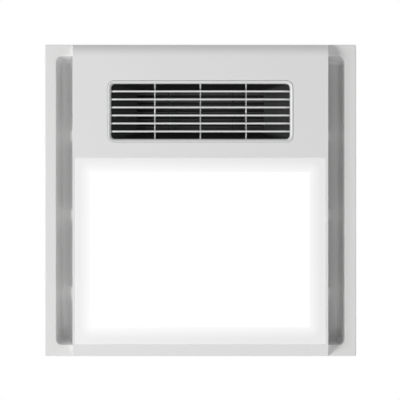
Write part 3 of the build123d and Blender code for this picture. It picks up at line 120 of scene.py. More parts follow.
def noise(tree, scale, detail=2.0, roughness=0.5, stretch=None):
    """Noise on Object coordinates, with a stretch along each axis if given."""
    place = tree.nodes.new("ShaderNodeTexCoord").outputs["Object"]
    if stretch:
        mapping = tree.nodes.new("ShaderNodeMapping")
        mapping.inputs["Scale"].default_value = stretch
        tree.links.new(place, mapping.inputs["Vector"])
        place = mapping.outputs["Vector"]
    node = tree.nodes.new("ShaderNodeTexNoise")
    tree.links.new(place, node.inputs["Vector"])
    fed(tree, node.inputs["Scale"], scale)
    node.inputs["Detail"].default_value = detail
    node.inputs["Roughness"].default_value = roughness
    return node.outputs["Fac"]


def fine_grain():
    """Fine grain of a moulded or painted face: a height and a slow change of gloss."""
    group, given, out = new_effect(
        "fine_grain",
        {"Grain Scale": 1500.0, "Gloss Low": 0.3, "Gloss High": 0.4},
        {"Height": "NodeSocketFloat", "Gloss": "NodeSocketFloat"},
    )
    height = noise(group, given.outputs["Grain Scale"], detail=3.0)
    slow = noise(group, scale=18.0)
    glosses = given.outputs["Gloss Low"], given.outputs["Gloss High"]
    gloss = spread(group, slow, low=0.3, high=0.7, start=glosses[0], end=glosses[1])
    group.links.new(height, out.inputs["Height"])
    group.links.new(gloss, out.inputs["Gloss"])
    return group


def handling_dust():
    """Soft cloudy mask of dust or handling, used to shift a colour a little."""
    group, given, out = new_effect(
        "handling_dust",
        {"Dust Scale": 20.0, "Dust Share": 0.1},
        {"Mask": "NodeSocketFloat"},
    )
    broad = noise(group, given.outputs["Dust Scale"], detail=4.0, roughness=0.6)
    mask = spread(group, broad, low=0.35, high=0.75, start=0.0, end=given.outputs["Dust Share"])
    group.links.new(mask, out.inputs["Mask"])
    return group


def zinc_spangle():
    """Crystal pattern of hot-dipped zinc: a shade for each crystal and its gloss."""
    crystal_share = 0.65
    group, given, out = new_effect(
        "zinc_spangle",
        {"Crystal Scale": 140.0},
        {"Shade": "NodeSocketFloat", "Gloss": "NodeSocketFloat"},
    )
    place = group.nodes.new("ShaderNodeTexCoord").outputs["Object"]
    cells = group.nodes.new("ShaderNodeTexVoronoi")
    group.links.new(place, cells.inputs["Vector"])
    group.links.new(given.outputs["Crystal Scale"], cells.inputs["Scale"])
    tone = group.nodes.new("ShaderNodeRGBToBW")
    group.links.new(cells.outputs["Color"], tone.inputs["Color"])
    cloud = noise(group, scale=60.0, detail=3.0)
    clouded = maths(group, "MULTIPLY", cloud, 1 - crystal_share)
    blended = maths(group, "MULTIPLY_ADD", tone.outputs["Val"], crystal_share, clouded)
    gloss = spread(group, blended, low=0.2, high=0.8, start=0.38, end=0.48)
    group.links.new(blended, out.inputs["Shade"])
    group.links.new(gloss, out.inputs["Gloss"])
    return group


def drawn_lines():
    """Fine lines that rolling, drawing or brushing leaves along X."""
    group, given, out = new_effect(
        "drawn_lines",
        {"Line Scale": 600.0},
        {"Height": "NodeSocketFloat", "Gloss": "NodeSocketFloat"},
    )
    marks = noise(group, given.outputs["Line Scale"], stretch=(0.04, 1.0, 1.0))
    gloss = spread(group, marks, low=0.3, high=0.7, start=0.28, end=0.44)
    group.links.new(marks, out.inputs["Height"])
    group.links.new(gloss, out.inputs["Gloss"])
    return group


def cell_foam():
    """Open pores of a foam strip."""
    group, given, out = new_effect(
        "cell_foam",
        {"Pore Scale": 900.0},
        {"Height": "NodeSocketFloat", "Mask": "NodeSocketFloat"},
    )
    place = group.nodes.new("ShaderNodeTexCoord").outputs["Object"]
    pores = group.nodes.new("ShaderNodeTexVoronoi")
    group.links.new(place, pores.inputs["Vector"])
    group.links.new(given.outputs["Pore Scale"], pores.inputs["Scale"])
    mask = spread(group, pores.outputs["Distance"], low=0.1, high=0.6, start=1.0, end=0.0)
    group.links.new(pores.outputs["Distance"], out.inputs["Height"])
    group.links.new(mask, out.inputs["Mask"])
    return group


def lamp_glow():
    """Light behind the cover: 0 at its border, 0.5 where the full light begins, 1 just inside that edge."""
    group, given, out = new_effect(
        "lamp_glow",
        {"Middle X": 0.0, "Middle Y": 0.0, "Half X": 0.1, "Half Y": 0.1, "Fade": 0.01, "Edge": 0.002},
        {"Share": "NodeSocketFloat"},
    )
    place = group.nodes.new("ShaderNodeTexCoord").outputs["Object"]
    parts = group.nodes.new("ShaderNodeSeparateXYZ")
    group.links.new(place, parts.inputs["Vector"])
    reaches = []
    for axis in ("X", "Y"):
        away = maths(group, "SUBTRACT", parts.outputs[axis], given.outputs[f"Middle {axis}"])
        away = maths(group, "ABSOLUTE", away)
        reaches.append(maths(group, "SUBTRACT", away, given.outputs[f"Half {axis}"]))
    outside = [maths(group, "MAXIMUM", reach, 0.0) for reach in reaches]
    square = maths(group, "MULTIPLY", outside[1], outside[1])
    square = maths(group, "MULTIPLY_ADD", outside[0], outside[0], square)
    faded = maths(group, "DIVIDE", maths(group, "SQRT", square), given.outputs["Fade"])
    inside = maths(group, "MULTIPLY", maths(group, "MAXIMUM", *reaches), -1.0)
    full = maths(group, "DIVIDE", inside, given.outputs["Edge"])
    border, centre = (
        maths(group, "MINIMUM", maths(group, "MAXIMUM", level, 0.0), 1.0)
        for level in (maths(group, "SUBTRACT", 1.0, faded), full)
    )
    share = maths(group, "MULTIPLY", maths(group, "ADD", border, centre), 0.5)
    group.links.new(share, out.inputs["Share"])
    return group


grain = fine_grain()
dust = handling_dust()
spangle = zinc_spangle()
lines = drawn_lines()
foam_cells = cell_foam()
glow = lamp_glow()


# Finishes
def new_finish(name, colour, roughness, metallic=0.0):
    """Material with its Principled shader, whose plain values are set on its own sockets."""
    material = bpy.data.materials.new(name)
    material.use_nodes = True
    shader = material.node_tree.nodes["Principled BSDF"]
    shader.inputs["Base Color"].default_value = (*colour, 1.0)
    shader.inputs["Roughness"].default_value = roughness
    shader.inputs["Metallic"].default_value = metallic
    return material, material.node_tree, shader


def placed(tree, effect, **values):
    """An effect in a material, with its own values."""
    node = tree.nodes.new("ShaderNodeGroup")
    node.node_tree = effect
    for label, value in values.items():
        node.inputs[label.replace("_", " ")].default_value = value
    return node


def tinted(tree, shader, mask, colour, other):
    """Base colour that goes from one colour to another with a mask."""
    mix = tree.nodes.new("ShaderNodeMix")
    mix.data_type = "RGBA"
    mix.inputs["A"].default_value = (*colour, 1.0)
    mix.inputs["B"].default_value = (*other, 1.0)
    tree.links.new(mask, mix.inputs["Factor"])
    tree.links.new(mix.outputs["Result"], shader.inputs["Base Color"])


def raised(tree, shader, height, depth, strength):
    """Bump from a height, whose depth is in metres."""
    bump = tree.nodes.new("ShaderNodeBump")
    bump.inputs["Distance"].default_value = depth
    bump.inputs["Strength"].default_value = strength
    tree.links.new(height, bump.inputs["Height"])
    tree.links.new(bump.outputs["Normal"], shader.inputs["Normal"])


def moulded_plastic(name, colour, gloss, grain_scale=1500.0, depth=0.03 * MM, dusty=0.05, specular=0.5):
    """Moulded plastic with a fine grain, a slow change of gloss and a trace of dust."""
    material, tree, shader = new_finish(name, colour, gloss[0])
    shader.inputs["Specular IOR Level"].default_value = specular
    face = placed(tree, grain, Grain_Scale=grain_scale, Gloss_Low=gloss[0], Gloss_High=gloss[1])
    cloud = placed(tree, dust, Dust_Scale=22.0, Dust_Share=dusty)
    # Dust darkens a pale plastic a little and lightens a dark one
    pale = max(colour) > 0.2
    dusted = tuple(value * 0.9 if pale else value * 1.6 + 0.02 for value in colour)
    tinted(tree, shader, cloud.outputs["Mask"], colour, dusted)
    tree.links.new(face.outputs["Gloss"], shader.inputs["Roughness"])
    raised(tree, shader, face.outputs["Height"], depth, strength=0.25)
    return material


def galvanised_sheet(name, dark, light, crystal_scale):
    """Hot-dipped zinc on sheet steel."""
    material, tree, shader = new_finish(name, light, roughness=0.45, metallic=0.7)
    crystals = placed(tree, spangle, Crystal_Scale=crystal_scale)
    tinted(tree, shader, crystals.outputs["Shade"], dark, light)
    tree.links.new(crystals.outputs["Gloss"], shader.inputs["Roughness"])
    return material


def drawn_metal(name, colour, other):
    """Metal with fine lines along X."""
    material, tree, shader = new_finish(name, colour, roughness=0.35, metallic=1.0)
    marks = placed(tree, lines, Line_Scale=600.0)
    cloud = placed(tree, dust, Dust_Scale=40.0, Dust_Share=0.5)
    tinted(tree, shader, cloud.outputs["Mask"], colour, other)
    tree.links.new(marks.outputs["Gloss"], shader.inputs["Roughness"])
    raised(tree, shader, marks.outputs["Height"], depth=0.02 * MM, strength=0.2)
    return material


def painted_metal(name, colour, gloss):
    """Smooth paint on pressed steel."""
    return moulded_plastic(name, colour, gloss, grain_scale=700.0, depth=0.02 * MM, dusty=0.3)


def foam_strip(name, colour):
    """Closed foam with pores."""
    material, tree, shader = new_finish(name, colour, roughness=0.9)
    pores = placed(tree, foam_cells)
    tinted(tree, shader, pores.outputs["Mask"], colour, tuple(value * 2.2 for value in colour))
    raised(tree, shader, pores.outputs["Height"], depth=0.2 * MM, strength=0.6)
    return material


def opal_cover(name, colour):
    """Opal plastic lit from behind, with a sharp field of full light and a border that fades."""
    material, tree, shader = new_finish(name, colour, roughness=0.35)
    light = placed(
        tree,
        glow,
        Middle_X=-0.3 * MM,
        Middle_Y=47.1 * MM,
        Half_X=105.3 * MM,
        Half_Y=74.5 * MM,
        Fade=10.8 * MM,
        Edge=1.5 * MM,
    )
    levels = tree.nodes.new("ShaderNodeValToRGB")
    stops = levels.color_ramp.elements
    stops[0].color = (*[GLOW_BORDER] * 3, 1.0)
    stops[1].color = (*[GLOW_FULL] * 3, 1.0)
    stops.new(0.5).color = (*[GLOW_EDGE] * 3, 1.0)
    tree.links.new(light.outputs["Share"], levels.inputs["Fac"])
    tree.links.new(levels.outputs["Color"], shader.inputs["Emission Color"])
    shader.inputs["Emission Strength"].default_value = 1.0
    face = placed(tree, grain, Grain_Scale=2500.0, Gloss_Low=0.3, Gloss_High=0.36)
    tree.links.new(face.outputs["Gloss"], shader.inputs["Roughness"])
    return material


def light_chip(name, colour):
    """Yellow face of a light chip, glowing."""
    material, tree, shader = new_finish(name, colour, roughness=0.4)
    cloud = placed(tree, dust, Dust_Scale=400.0, Dust_Share=0.2)
    tinted(tree, shader, cloud.outputs["Mask"], colour, (0.9, 0.8, 0.4))
    shader.inputs["Emission Color"].default_value = (1.0, 0.98, 0.92, 1.0)
    shader.inputs["Emission Strength"].default_value = 1.0
    return material


finishes = {
    "white_shell": moulded_plastic("white_shell", (0.80, 0.80, 0.795), (0.34, 0.40), dusty=0.04),
    "white_panel": moulded_plastic("white_panel", (0.83, 0.83, 0.83), (0.30, 0.36), dusty=0.03),
    "grille_white": moulded_plastic("grille_white", (0.78, 0.79, 0.79), (0.30, 0.38), dusty=0.04),
    "opal_diffuser": opal_cover("opal_diffuser", (0.84, 0.84, 0.84)),
    "foam_black": foam_strip("foam_black", (0.030, 0.030, 0.031)),
    "mount_rubber": moulded_plastic("mount_rubber", (0.04, 0.04, 0.04), (0.6, 0.75), grain_scale=900.0),
    "black_plastic": moulded_plastic("black_plastic", (0.010, 0.010, 0.011), (0.55, 0.65), specular=0.2),
    "louvre_plastic": moulded_plastic("louvre_plastic", (0.050, 0.050, 0.052), (0.45, 0.55), specular=0.35),
    "cream_plastic": moulded_plastic("cream_plastic", (0.66, 0.62, 0.52), (0.4, 0.5), dusty=0.15),
    "grey_plastic": moulded_plastic("grey_plastic", (0.33, 0.34, 0.36), (0.42, 0.52), dusty=0.15),
    "duct_white": moulded_plastic("duct_white", (0.72, 0.72, 0.70), (0.38, 0.48), dusty=0.12),
    "zinc_sheet": galvanised_sheet("zinc_sheet", (0.40, 0.41, 0.42), (0.50, 0.51, 0.52), 260.0),
    "motor_shell": painted_metal("motor_shell", (0.20, 0.21, 0.22), (0.3, 0.42)),
    "plated_steel": drawn_metal("plated_steel", (0.60, 0.60, 0.59), (0.46, 0.45, 0.43)),
    "aluminium_plain": drawn_metal("aluminium_plain", (0.78, 0.78, 0.79), (0.68, 0.68, 0.69)),
    "heater_aluminium": drawn_metal("heater_aluminium", (0.55, 0.54, 0.53), (0.36, 0.34, 0.31)),
    "strip_board": moulded_plastic("strip_board", (0.84, 0.85, 0.84), (0.3, 0.4)),
    "circuit_board": moulded_plastic("circuit_board", (0.05, 0.22, 0.11), (0.25, 0.4), dusty=0.3),
    "brass_plain": drawn_metal("brass_plain", (0.70, 0.53, 0.26), (0.52, 0.38, 0.18)),
    "chip_light": light_chip("chip_light", (0.95, 0.88, 0.55)),
}

for entry in frame["record"]["subparts"]:
    node = nodes[entry["node"]]
    node.data.materials.clear()
    node.data.materials.append(finishes[entry["material_slot"]])


# Shaping
def clear_choice():
    """Nothing selected, in object mode."""
    if bpy.context.mode != "OBJECT":
        bpy.ops.object.mode_set(mode="OBJECT")
    bpy.ops.object.select_all(action="DESELECT")


def block(name, low, high):
    """Box between two corners, with its place in its mesh."""
    clear_choice()
    low, high = Vector(low), Vector(high)
    bpy.ops.mesh.primitive_cube_add(size=1.0, location=(low + high) / 2, scale=high - low)
    return settled(name)


def disc(name, radius, depth, place, axis, sides):
    """Round bar along an axis, centred at a place."""
    clear_choice()
    turn = {"X": (0, math.pi / 2, 0), "Y": (math.pi / 2, 0, 0), "Z": (0, 0, 0)}[axis]
    bpy.ops.mesh.primitive_cylinder_add(
        vertices=sides, radius=radius, depth=depth, location=place, rotation=turn
    )
    return settled(name)


def settled(name):
    """The active object named, with its place and size moved into its mesh."""
    piece = bpy.context.object
    piece.name = name
    piece.data.name = name
    bpy.ops.object.transform_apply(location=True, rotation=True, scale=True)
    return piece


def picked(piece):
    """The piece alone selected and active, in object mode."""
    clear_choice()
    piece.select_set(True)
    bpy.context.view_layer.objects.active = piece


def opened(piece, kind="FACE", action="DESELECT"):
    """The piece in edit mode, with nothing chosen or with everything."""
    picked(piece)
    bpy.ops.object.mode_set(mode="EDIT")
    bpy.ops.mesh.select_mode(type=kind)
    bpy.ops.mesh.select_all(action=action)


def closed():
    """Back to object mode."""
    bpy.ops.object.mode_set(mode="OBJECT")


def choose(piece, kind, wanted):
    """Chooses the faces or edges of the open piece that pass a test."""
    bpy.ops.mesh.select_mode(type=kind)
    bpy.ops.mesh.select_all(action="DESELECT")
    mesh = bmesh.from_edit_mesh(piece.data)
    for item in mesh.faces if kind == "FACE" else mesh.edges:
        if wanted(item):
            item.select_set(True)
    mesh.select_flush_mode()
    bmesh.update_edit_mesh(piece.data)


def faces_towards(piece, direction, level=None):
    """Chooses the faces that look in a direction, at a level along it if given."""
    direction = Vector(direction)

    def wanted(face):
        if face.normal.dot(direction) < ALIGNED:
            return False
        return level is None or abs(face.calc_center_median().dot(direction) - level) < NEAR

    choose(piece, "FACE", wanted)


def finished(piece, finish, body="housing", node=None, smooth=30.0):
    """Smooths and paints a piece and gives it to its body; node names the CAD node that it stands for."""
    picked(piece)
    bpy.ops.object.shade_smooth_by_angle(angle=math.radians(smooth))
    modified(piece, "WEIGHTED_NORMAL", keep_sharp=True)
    piece.data.materials.clear()
    piece.data.materials.append(finishes[finish])
    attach(piece, body)
    if node:
        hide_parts(node)


def modified(piece, kind, **settings):
    """Adds a modifier with its settings and applies it."""
    picked(piece)
    bpy.ops.object.modifier_add(type=kind)
    modifier = piece.modifiers[-1]
    for label, value in settings.items():
        setattr(modifier, label, value)
    bpy.ops.object.modifier_apply(modifier=modifier.name)


def cut_by(piece, cutter):
    """Cuts a piece with another, which is then deleted."""
    modified(piece, "BOOLEAN", operation="DIFFERENCE", solver="EXACT", object=cutter)
    bpy.data.objects.remove(cutter)


def softened(piece, width, segments=2):
    """Rounds the sharp edges of a piece."""
    modified(
        piece,
        "BEVEL",
        width=width,
        segments=segments,
        limit_method="ANGLE",
        angle_limit=math.radians(35),
        use_clamp_overlap=True,
    )


def mended(piece):
    """Clears slivers that bevels and cuts leave, and closes the pinholes beside them."""
    opened(piece, "VERT", action="SELECT")
    bpy.ops.mesh.dissolve_degenerate(threshold=TOUCHING)
    bpy.ops.mesh.select_all(action="SELECT")
    bpy.ops.mesh.fill_holes(sides=4)
    closed()


def joined(name, pieces):
    """One object of several."""
    clear_choice()
    for piece in pieces:
        piece.select_set(True)
    bpy.context.view_layer.objects.active = pieces[0]
    bpy.ops.object.join()
    piece = bpy.context.object
    piece.name = name
    piece.data.name = name
    return piece


def runs_along(edge, axis):
    """Whether an edge is parallel to an axis, given by its number."""
    return abs((edge.verts[0].co - edge.verts[1].co).normalized()[axis]) > ALIGNED


def lies_at(edge, axis, level):
    """Whether both ends of an edge are at a level of an axis."""
    return all(abs(vert.co[axis] - level) < NEAR for vert in edge.verts)


def rounded_corners(piece, radius, segments=5, axis=2):
    """Rounds the edges of an open piece that run along an axis."""
    choose(piece, "EDGE", lambda edge: runs_along(edge, axis))
    bpy.ops.mesh.bevel(offset=radius, segments=segments)


def copied_node(node, name):
    """Copy of a CAD node's mesh with its doubles merged, to work on."""
    clear_choice()
    piece = bpy.data.objects.new(name, nodes[node].data.copy())
    piece.data.name = name
    bpy.context.scene.collection.objects.link(piece)
    opened(piece, "VERT", action="SELECT")
    bpy.ops.mesh.remove_doubles(threshold=TOUCHING)
    closed()
    return piece


def beyond(face, axis, level, side):
    """Whether the middle of a face lies past a level, on one side of it."""
    return (face.calc_center_median()[axis] - level) * side > 0


def stepped_in(steps):
    """Insets the chosen face once for each width and rise, in millimetres."""
    for width, rise in steps:
        bpy.ops.mesh.inset(thickness=width * MM, depth=rise * MM)


# Housing above the ceiling
PRESS_SLOPE = 2.2 * MM
PRESS_DEPTH = 1.8 * MM


def pressed_panel(margin, squeeze=None):
    """Presses the chosen flat face in; squeeze gives a share for each axis and the place that stays."""
    bpy.ops.mesh.inset(thickness=margin, depth=0.0)
    if squeeze:
        shares, fixed = squeeze
        bpy.ops.transform.resize(value=shares, center_override=fixed)
    bpy.ops.mesh.inset(thickness=PRESS_SLOPE, depth=-PRESS_DEPTH)


def rounded_panels(piece, radius, segments=4):
    """Rounds the corners of the pressed panels, found by the length of the edges down their slopes."""
    length = math.sqrt(2 * PRESS_SLOPE**2 + PRESS_DEPTH**2)
    choose(piece, "EDGE", lambda edge: abs(edge.calc_length() - length) < NEAR)
    bpy.ops.mesh.bevel(offset=radius, segments=segments)


def panelled_walls(piece, front, back, partition):
    """Presses a panel in each wall, on each side of the duct flange and on each side of the partition."""
    margin, duct_margin = 12 * MM, 9 * MM
    corner_radius = 5 * MM
    beside_duct = 70 * MM
    beside_shaft = -90 * MM

    def press_part(direction, axis, level, side, *shape):
        """Presses the face that looks in a direction and lies past a level of an axis."""
        direction = Vector(direction)
        choose(
            piece,
            "FACE",
            lambda face: face.normal.dot(direction) > ALIGNED and beyond(face, axis, level, side),
        )
        pressed_panel(*shape)

    for side in (-1, 1):
        faces_towards(piece, (0, -1, 0))
        bpy.ops.mesh.bisect(plane_co=(side * beside_duct, 0, 0), plane_no=(1, 0, 0))
    choose(piece, "FACE", lambda face: abs(face.normal.y) < 0.5)
    bpy.ops.mesh.bisect(plane_co=(0, partition, 0), plane_no=(0, 1, 0))
    faces_towards(piece, (0, 1, 0), back)
    pressed_panel(margin)
    for end in (-1, 1):
        press_part((0, 0, 1), 1, partition, end, margin)
    # The side panels before the partition stop short of the damper's shaft
    shortened = (partition - margin - beside_shaft) / (partition - front - 2 * margin)
    squeeze = ((1, shortened, 1), (0, partition - margin, 0))
    for side in (-1, 1):
        press_part((side, 0, 0), 1, partition, 1, margin)
        press_part((side, 0, 0), 1, partition, -1, margin, squeeze)
        press_part((0, -1, 0), 0, side * beside_duct, side, duct_margin)
    rounded_panels(piece, corner_radius)


def rounded_folds(piece, low, high):
    """Rounds the four upright folds and those round the top."""
    upright_radius, top_radius = 4 * MM, 1.2 * MM

    def upright_fold(edge):
        beside = any(lies_at(edge, 0, level) for level in (low.x, high.x))
        at_end = any(lies_at(edge, 1, level) for level in (low.y, high.y))
        return runs_along(edge, 2) and beside and at_end

    def top_fold(edge):
        return lies_at(edge, 2, high.z) and any(abs(face.normal.z) < 0.5 for face in edge.link_faces)

    choose(piece, "EDGE", upright_fold)
    bpy.ops.mesh.bevel(offset=upright_radius, segments=5)
    choose(piece, "EDGE", top_fold)
    bpy.ops.mesh.bevel(offset=top_radius, segments=2)


def housing_holes(piece, low, high, flange):
    """Cuts the duct's opening, the two holes of the damper's shaft and the screw holes of the flange."""
    duct_low, duct_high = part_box("exhaust_collar")
    shaft_low, shaft_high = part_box("damper_shaft")
    duct_radius, shaft_radius, screw_radius = 39.35 * MM, 3.4 * MM, 2 * MM
    duct_through, hole_through = 20 * MM, 10 * MM
    duct_sides, hole_sides = 64, 24
    screw_spacing = 80 * MM
    middle = (low + high) / 2
    shaft = (shaft_low + shaft_high) / 2
    place = (0, low.y + flange, (duct_low.z + duct_high.z) / 2)
    cut_by(piece, disc("duct_cut", duct_radius, duct_through, place, "Y", duct_sides))
    for side, wall_x in ((-1, low.x + flange), (1, high.x - flange)):
        place = (wall_x, shaft.y, shaft.z)
        cut_by(piece, disc("shaft_cut", shaft_radius, hole_through, place, "X", hole_sides))
        for row in (-1, 0, 1):
            place = (wall_x + side * flange / 2, middle.y + row * screw_spacing, low.z)
            cut_by(piece, disc("screw_cut", screw_radius, hole_through, place, "Z", hole_sides))


def housing_shell():
    """Folded sheet box with pressed stiffening panels, open at the duct and below."""
    low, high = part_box("housing_box")
    flange, wall = 7 * MM, 1 * MM
    box_low = low + Vector((flange, flange, wall))
    box_high = high - Vector((flange, flange, 0))
    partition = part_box("partition")[0].y + wall / 2
    piece = block("housing_shell", box_low, box_high)
    opened(piece)
    faces_towards(piece, (0, 0, -1))
    bpy.ops.mesh.delete(type="FACE")
    panelled_walls(piece, box_low.y, box_high.y, partition)
    rounded_folds(piece, box_low, box_high)
    # The flange is drawn out of the open edge below
    choose(piece, "EDGE", lambda edge: edge.is_boundary)
    bpy.ops.mesh.extrude_edges_move()
    middle = (low + high) / 2
    whole, inner = high - low, box_high - box_low
    bpy.ops.transform.resize(
        value=(whole.x / inner.x, whole.y / inner.y, 1.0),
        center_override=(middle.x, middle.y, box_low.z),
    )
    closed()
    modified(piece, "SOLIDIFY", thickness=wall, offset=-1.0)
    housing_holes(piece, low, high, flange)
    mended(piece)
    finished(piece, "zinc_sheet", node="housing_box")


housing_shell()


# Parts on the housing
DUCT_SIDES = 96


def terminal_cover():
    """Press-on cover with rounded edges, a sunken field and a raised pad in it."""
    low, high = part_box("terminal_box_cover")
    corner_radius, edge_radius = 3 * MM, 0.3 * MM
    # Width and rise of each step from the edge inwards, in millimetres
    steps = ((4.5, 0.0), (0.5, -0.6), (3.5, 0.0), (0.5, 0.5))
    piece = block("terminal_cover", low, high)
    opened(piece)
    faces_towards(piece, (0, 0, 1), high.z)
    stepped_in(steps)
    rounded_corners(piece, corner_radius)
    closed()
    softened(piece, edge_radius)
    finished(piece, "cream_plastic", node="terminal_box_cover")


def driver_case():
    """Case of the light's driver: two end caps, ribs between them, and a screwed ear at each end."""
    low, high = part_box("led_driver")
    ear = 8 * MM
    cap = 13 * MM
    corner_radius, edge_radius = 2 * MM, 0.8 * MM
    groove, groove_depth, groove_pitch = 0.7 * MM, 0.7 * MM, 6 * MM
    grooves_each_way = 3
    rib_inset = 5 * MM
    past = 1 * MM
    case_low, case_high = low + Vector((0, ear, 0)), high - Vector((0, ear, 0))
    middle = (low + high) / 2
    body = block("driver_case", case_low, case_high)
    opened(body)
    rounded_corners(body, corner_radius, 3)
    closed()
    softened(body, edge_radius)
    cuts = [(level, -past) for level in (case_low.y + cap, case_high.y - cap)]
    for step in range(-grooves_each_way, grooves_each_way + 1):
        cuts.append((middle.y + step * groove_pitch, rib_inset))
    for level, inset in cuts:
        cutter = block(
            "groove",
            (low.x + inset, level - groove / 2, high.z - groove_depth),
            (high.x - inset, level + groove / 2, high.z + past),
        )
        cut_by(body, cutter)
    ears = [
        driver_ear(middle.x, low.z, case_low.y + past, low.y),
        driver_ear(middle.x, low.z, case_high.y - past, high.y),
    ]
    finished(joined("driver_case", [body, *ears]), "duct_white", node="led_driver")


def driver_ear(middle_x, base, inner, outer):
    """Flat ear with rounded outer corners and a screw hole, from one place along Y to another."""
    half, wall = 6 * MM, 1.5 * MM
    corner_radius = 3 * MM
    screw_radius, screw_inset, through = 1.4 * MM, 4 * MM, 10 * MM
    side = 1 if outer > inner else -1
    ends = sorted((inner, outer))
    tab = block("driver_ear", (middle_x - half, ends[0], base), (middle_x + half, ends[1], base + wall))
    opened(tab)
    choose(tab, "EDGE", lambda edge: runs_along(edge, 2) and lies_at(edge, 1, outer))
    bpy.ops.mesh.bevel(offset=corner_radius, segments=4)
    closed()
    place = (middle_x, outer - side * screw_inset, base)
    cut_by(tab, disc("screw_cut", screw_radius, through, place, "Z", 20))
    return tab


def geared_motor():
    """Small geared motor on the damper shaft: stepped can on an eared plate, with a plug socket on top."""
    low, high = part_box("damper_motor")
    middle = (low + high) / 2
    radius = (high.z - low.z) / 2
    ear_reach, ear_half, plate_wall, ear_radius = 17 * MM, 5 * MM, 1.2 * MM, 4 * MM
    boss = 2 * MM
    seam_inset, seam_width, seam_depth, past = 6.5 * MM, 0.8 * MM, 0.5 * MM, 2 * MM
    socket_start, socket_end, socket_half = 8 * MM, 14.5 * MM, 5.5 * MM
    socket_sunk, socket_rise = 2 * MM, 4 * MM
    edge_radius = 0.2 * MM
    sides = 64
    # Width and rise of each step from the edge inwards, in millimetres
    can_steps = ((0.8, 0.6), (3.0, 0.0), (0.5, 1.2), (6.0, 0.0), (0.4, -0.6))
    socket_steps = ((0.9, 0.0), (0.2, -3.5))
    plate = block(
        "motor_plate",
        (low.x, middle.y - ear_reach, middle.z - ear_half),
        (low.x + plate_wall, middle.y + ear_reach, middle.z + ear_half),
    )
    opened(plate)
    rounded_corners(plate, ear_radius, axis=0)
    closed()
    place = (middle.x - boss / 2, middle.y, middle.z)
    can = disc("motor_can", radius, high.x - low.x - boss, place, "X", sides)
    opened(can)
    faces_towards(can, (1, 0, 0))
    stepped_in(can_steps)
    closed()
    place = (low.x + seam_inset, middle.y, middle.z)
    seam = disc("seam_cut", radius + past, seam_width, place, "X", sides)
    cut_by(seam, disc("seam_core", radius - seam_depth, past, place, "X", sides))
    cut_by(can, seam)
    socket = block(
        "motor_socket",
        (low.x + socket_start, middle.y - socket_half, high.z - socket_sunk),
        (low.x + socket_end, middle.y + socket_half, high.z + socket_rise),
    )
    opened(socket)
    faces_towards(socket, (0, 0, 1))
    stepped_in(socket_steps)
    closed()
    piece = joined("geared_motor", [can, plate, socket])
    softened(piece, edge_radius, 1)
    mended(piece)
    finished(piece, "grey_plastic", node="damper_motor")


def duct_spigot():
    """Duct spigot with a bead, a flared root and four gussets on its screwed flange."""
    low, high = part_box("exhaust_collar")
    middle = (low + high) / 2
    radius, wall, reach = 39.25 * MM, 1.5 * MM, 30 * MM
    flange_half, flange_y = (high.x - low.x) / 2, low.y + reach
    # Place along Y and how far the wall stands out there, in millimetres
    mouth = ((0.4, -0.4), (4.5, 0.0), (5.2, 0.6), (6.0, 0.8), (6.8, 0.6), (7.5, 0.0))
    root = ((-3.0, 0.0), (-1.2, 0.6), (-0.3, 1.8), (0.3, 0.0))
    levels = {low.y + place * MM: radius + out * MM for place, out in mouth}
    levels.update({flange_y + place * MM: radius + out * MM for place, out in root})
    spigot = disc("duct_spigot", radius, high.y - low.y, (0, middle.y, middle.z), "Y", DUCT_SIDES)
    opened(spigot)
    choose(spigot, "FACE", lambda face: abs(face.normal.y) > ALIGNED)
    bpy.ops.mesh.delete(type="FACE")
    for level in levels:
        bpy.ops.mesh.select_all(action="SELECT")
        bpy.ops.mesh.bisect(plane_co=(0, level, 0), plane_no=(0, 1, 0))
    for level, wanted in levels.items():
        choose(spigot, "EDGE", lambda edge: lies_at(edge, 1, level))
        share = wanted / radius
        bpy.ops.transform.resize(value=(share, 1, share), center_override=(0, level, middle.z))
    closed()
    modified(spigot, "SOLIDIFY", thickness=wall, offset=-1.0)
    pieces = [spigot, duct_flange(radius, flange_half, flange_y, middle.z)]
    for x, z in ((1, 0), (-1, 0), (0, 1), (0, -1)):
        pieces.append(gusset(Vector((x, 0, z)), middle.z, radius, flange_half, flange_y))
    finished(joined("duct_spigot", pieces), "duct_white", node="exhaust_collar")


def duct_flange(radius, half, flange_y, axis_z):
    """Square flange round the spigot, with a screw hole near each corner."""
    wall, lip = 1 * MM, 0.5 * MM
    corner_radius, edge_radius = 6 * MM, 0.3 * MM
    screw_reach, screw_radius = 43 * MM, 1.4 * MM
    through = 10 * MM
    flange = block(
        "duct_flange", (-half, flange_y, axis_z - half), (half, flange_y + wall, axis_z + half)
    )
    opened(flange)
    rounded_corners(flange, corner_radius, 6, axis=1)
    closed()
    softened(flange, edge_radius)
    place = (0, flange_y, axis_z)
    cut_by(flange, disc("bore_cut", radius - lip, through, place, "Y", DUCT_SIDES))
    for x in (-1, 1):
        for z in (-1, 1):
            place = (x * screw_reach, flange_y, axis_z + z * screw_reach)
            cut_by(flange, disc("screw_cut", screw_radius, through, place, "Y", 20))
    return flange


def gusset(outwards, axis_z, radius, flange_half, flange_y):
    """Small triangular web between the spigot and its flange, on one of its four sides."""
    sunk, margin, seat = 0.5 * MM, 1.5 * MM, 0.2 * MM
    half, height, nose = 0.8 * MM, 9 * MM, 1 * MM
    inner, outer = radius - sunk, flange_half - margin
    axis = Vector((0, flange_y, axis_z))
    across = Vector((outwards.z, 0, outwards.x)) * half
    first = axis + outwards * inner - across - Vector((0, height, 0))
    last = axis + outwards * outer + across + Vector((0, seat, 0))
    web = block("gusset", tuple(map(min, first, last)), tuple(map(max, first, last)))

    def tip(edge):
        return lies_at(edge, 1, first.y) and all(
            (vert.co - axis).dot(outwards) > outer - NEAR for vert in edge.verts
        )

    opened(web)
    choose(web, "EDGE", tip)
    bpy.ops.transform.translate(value=(0, height - nose, 0))
    closed()
    return web


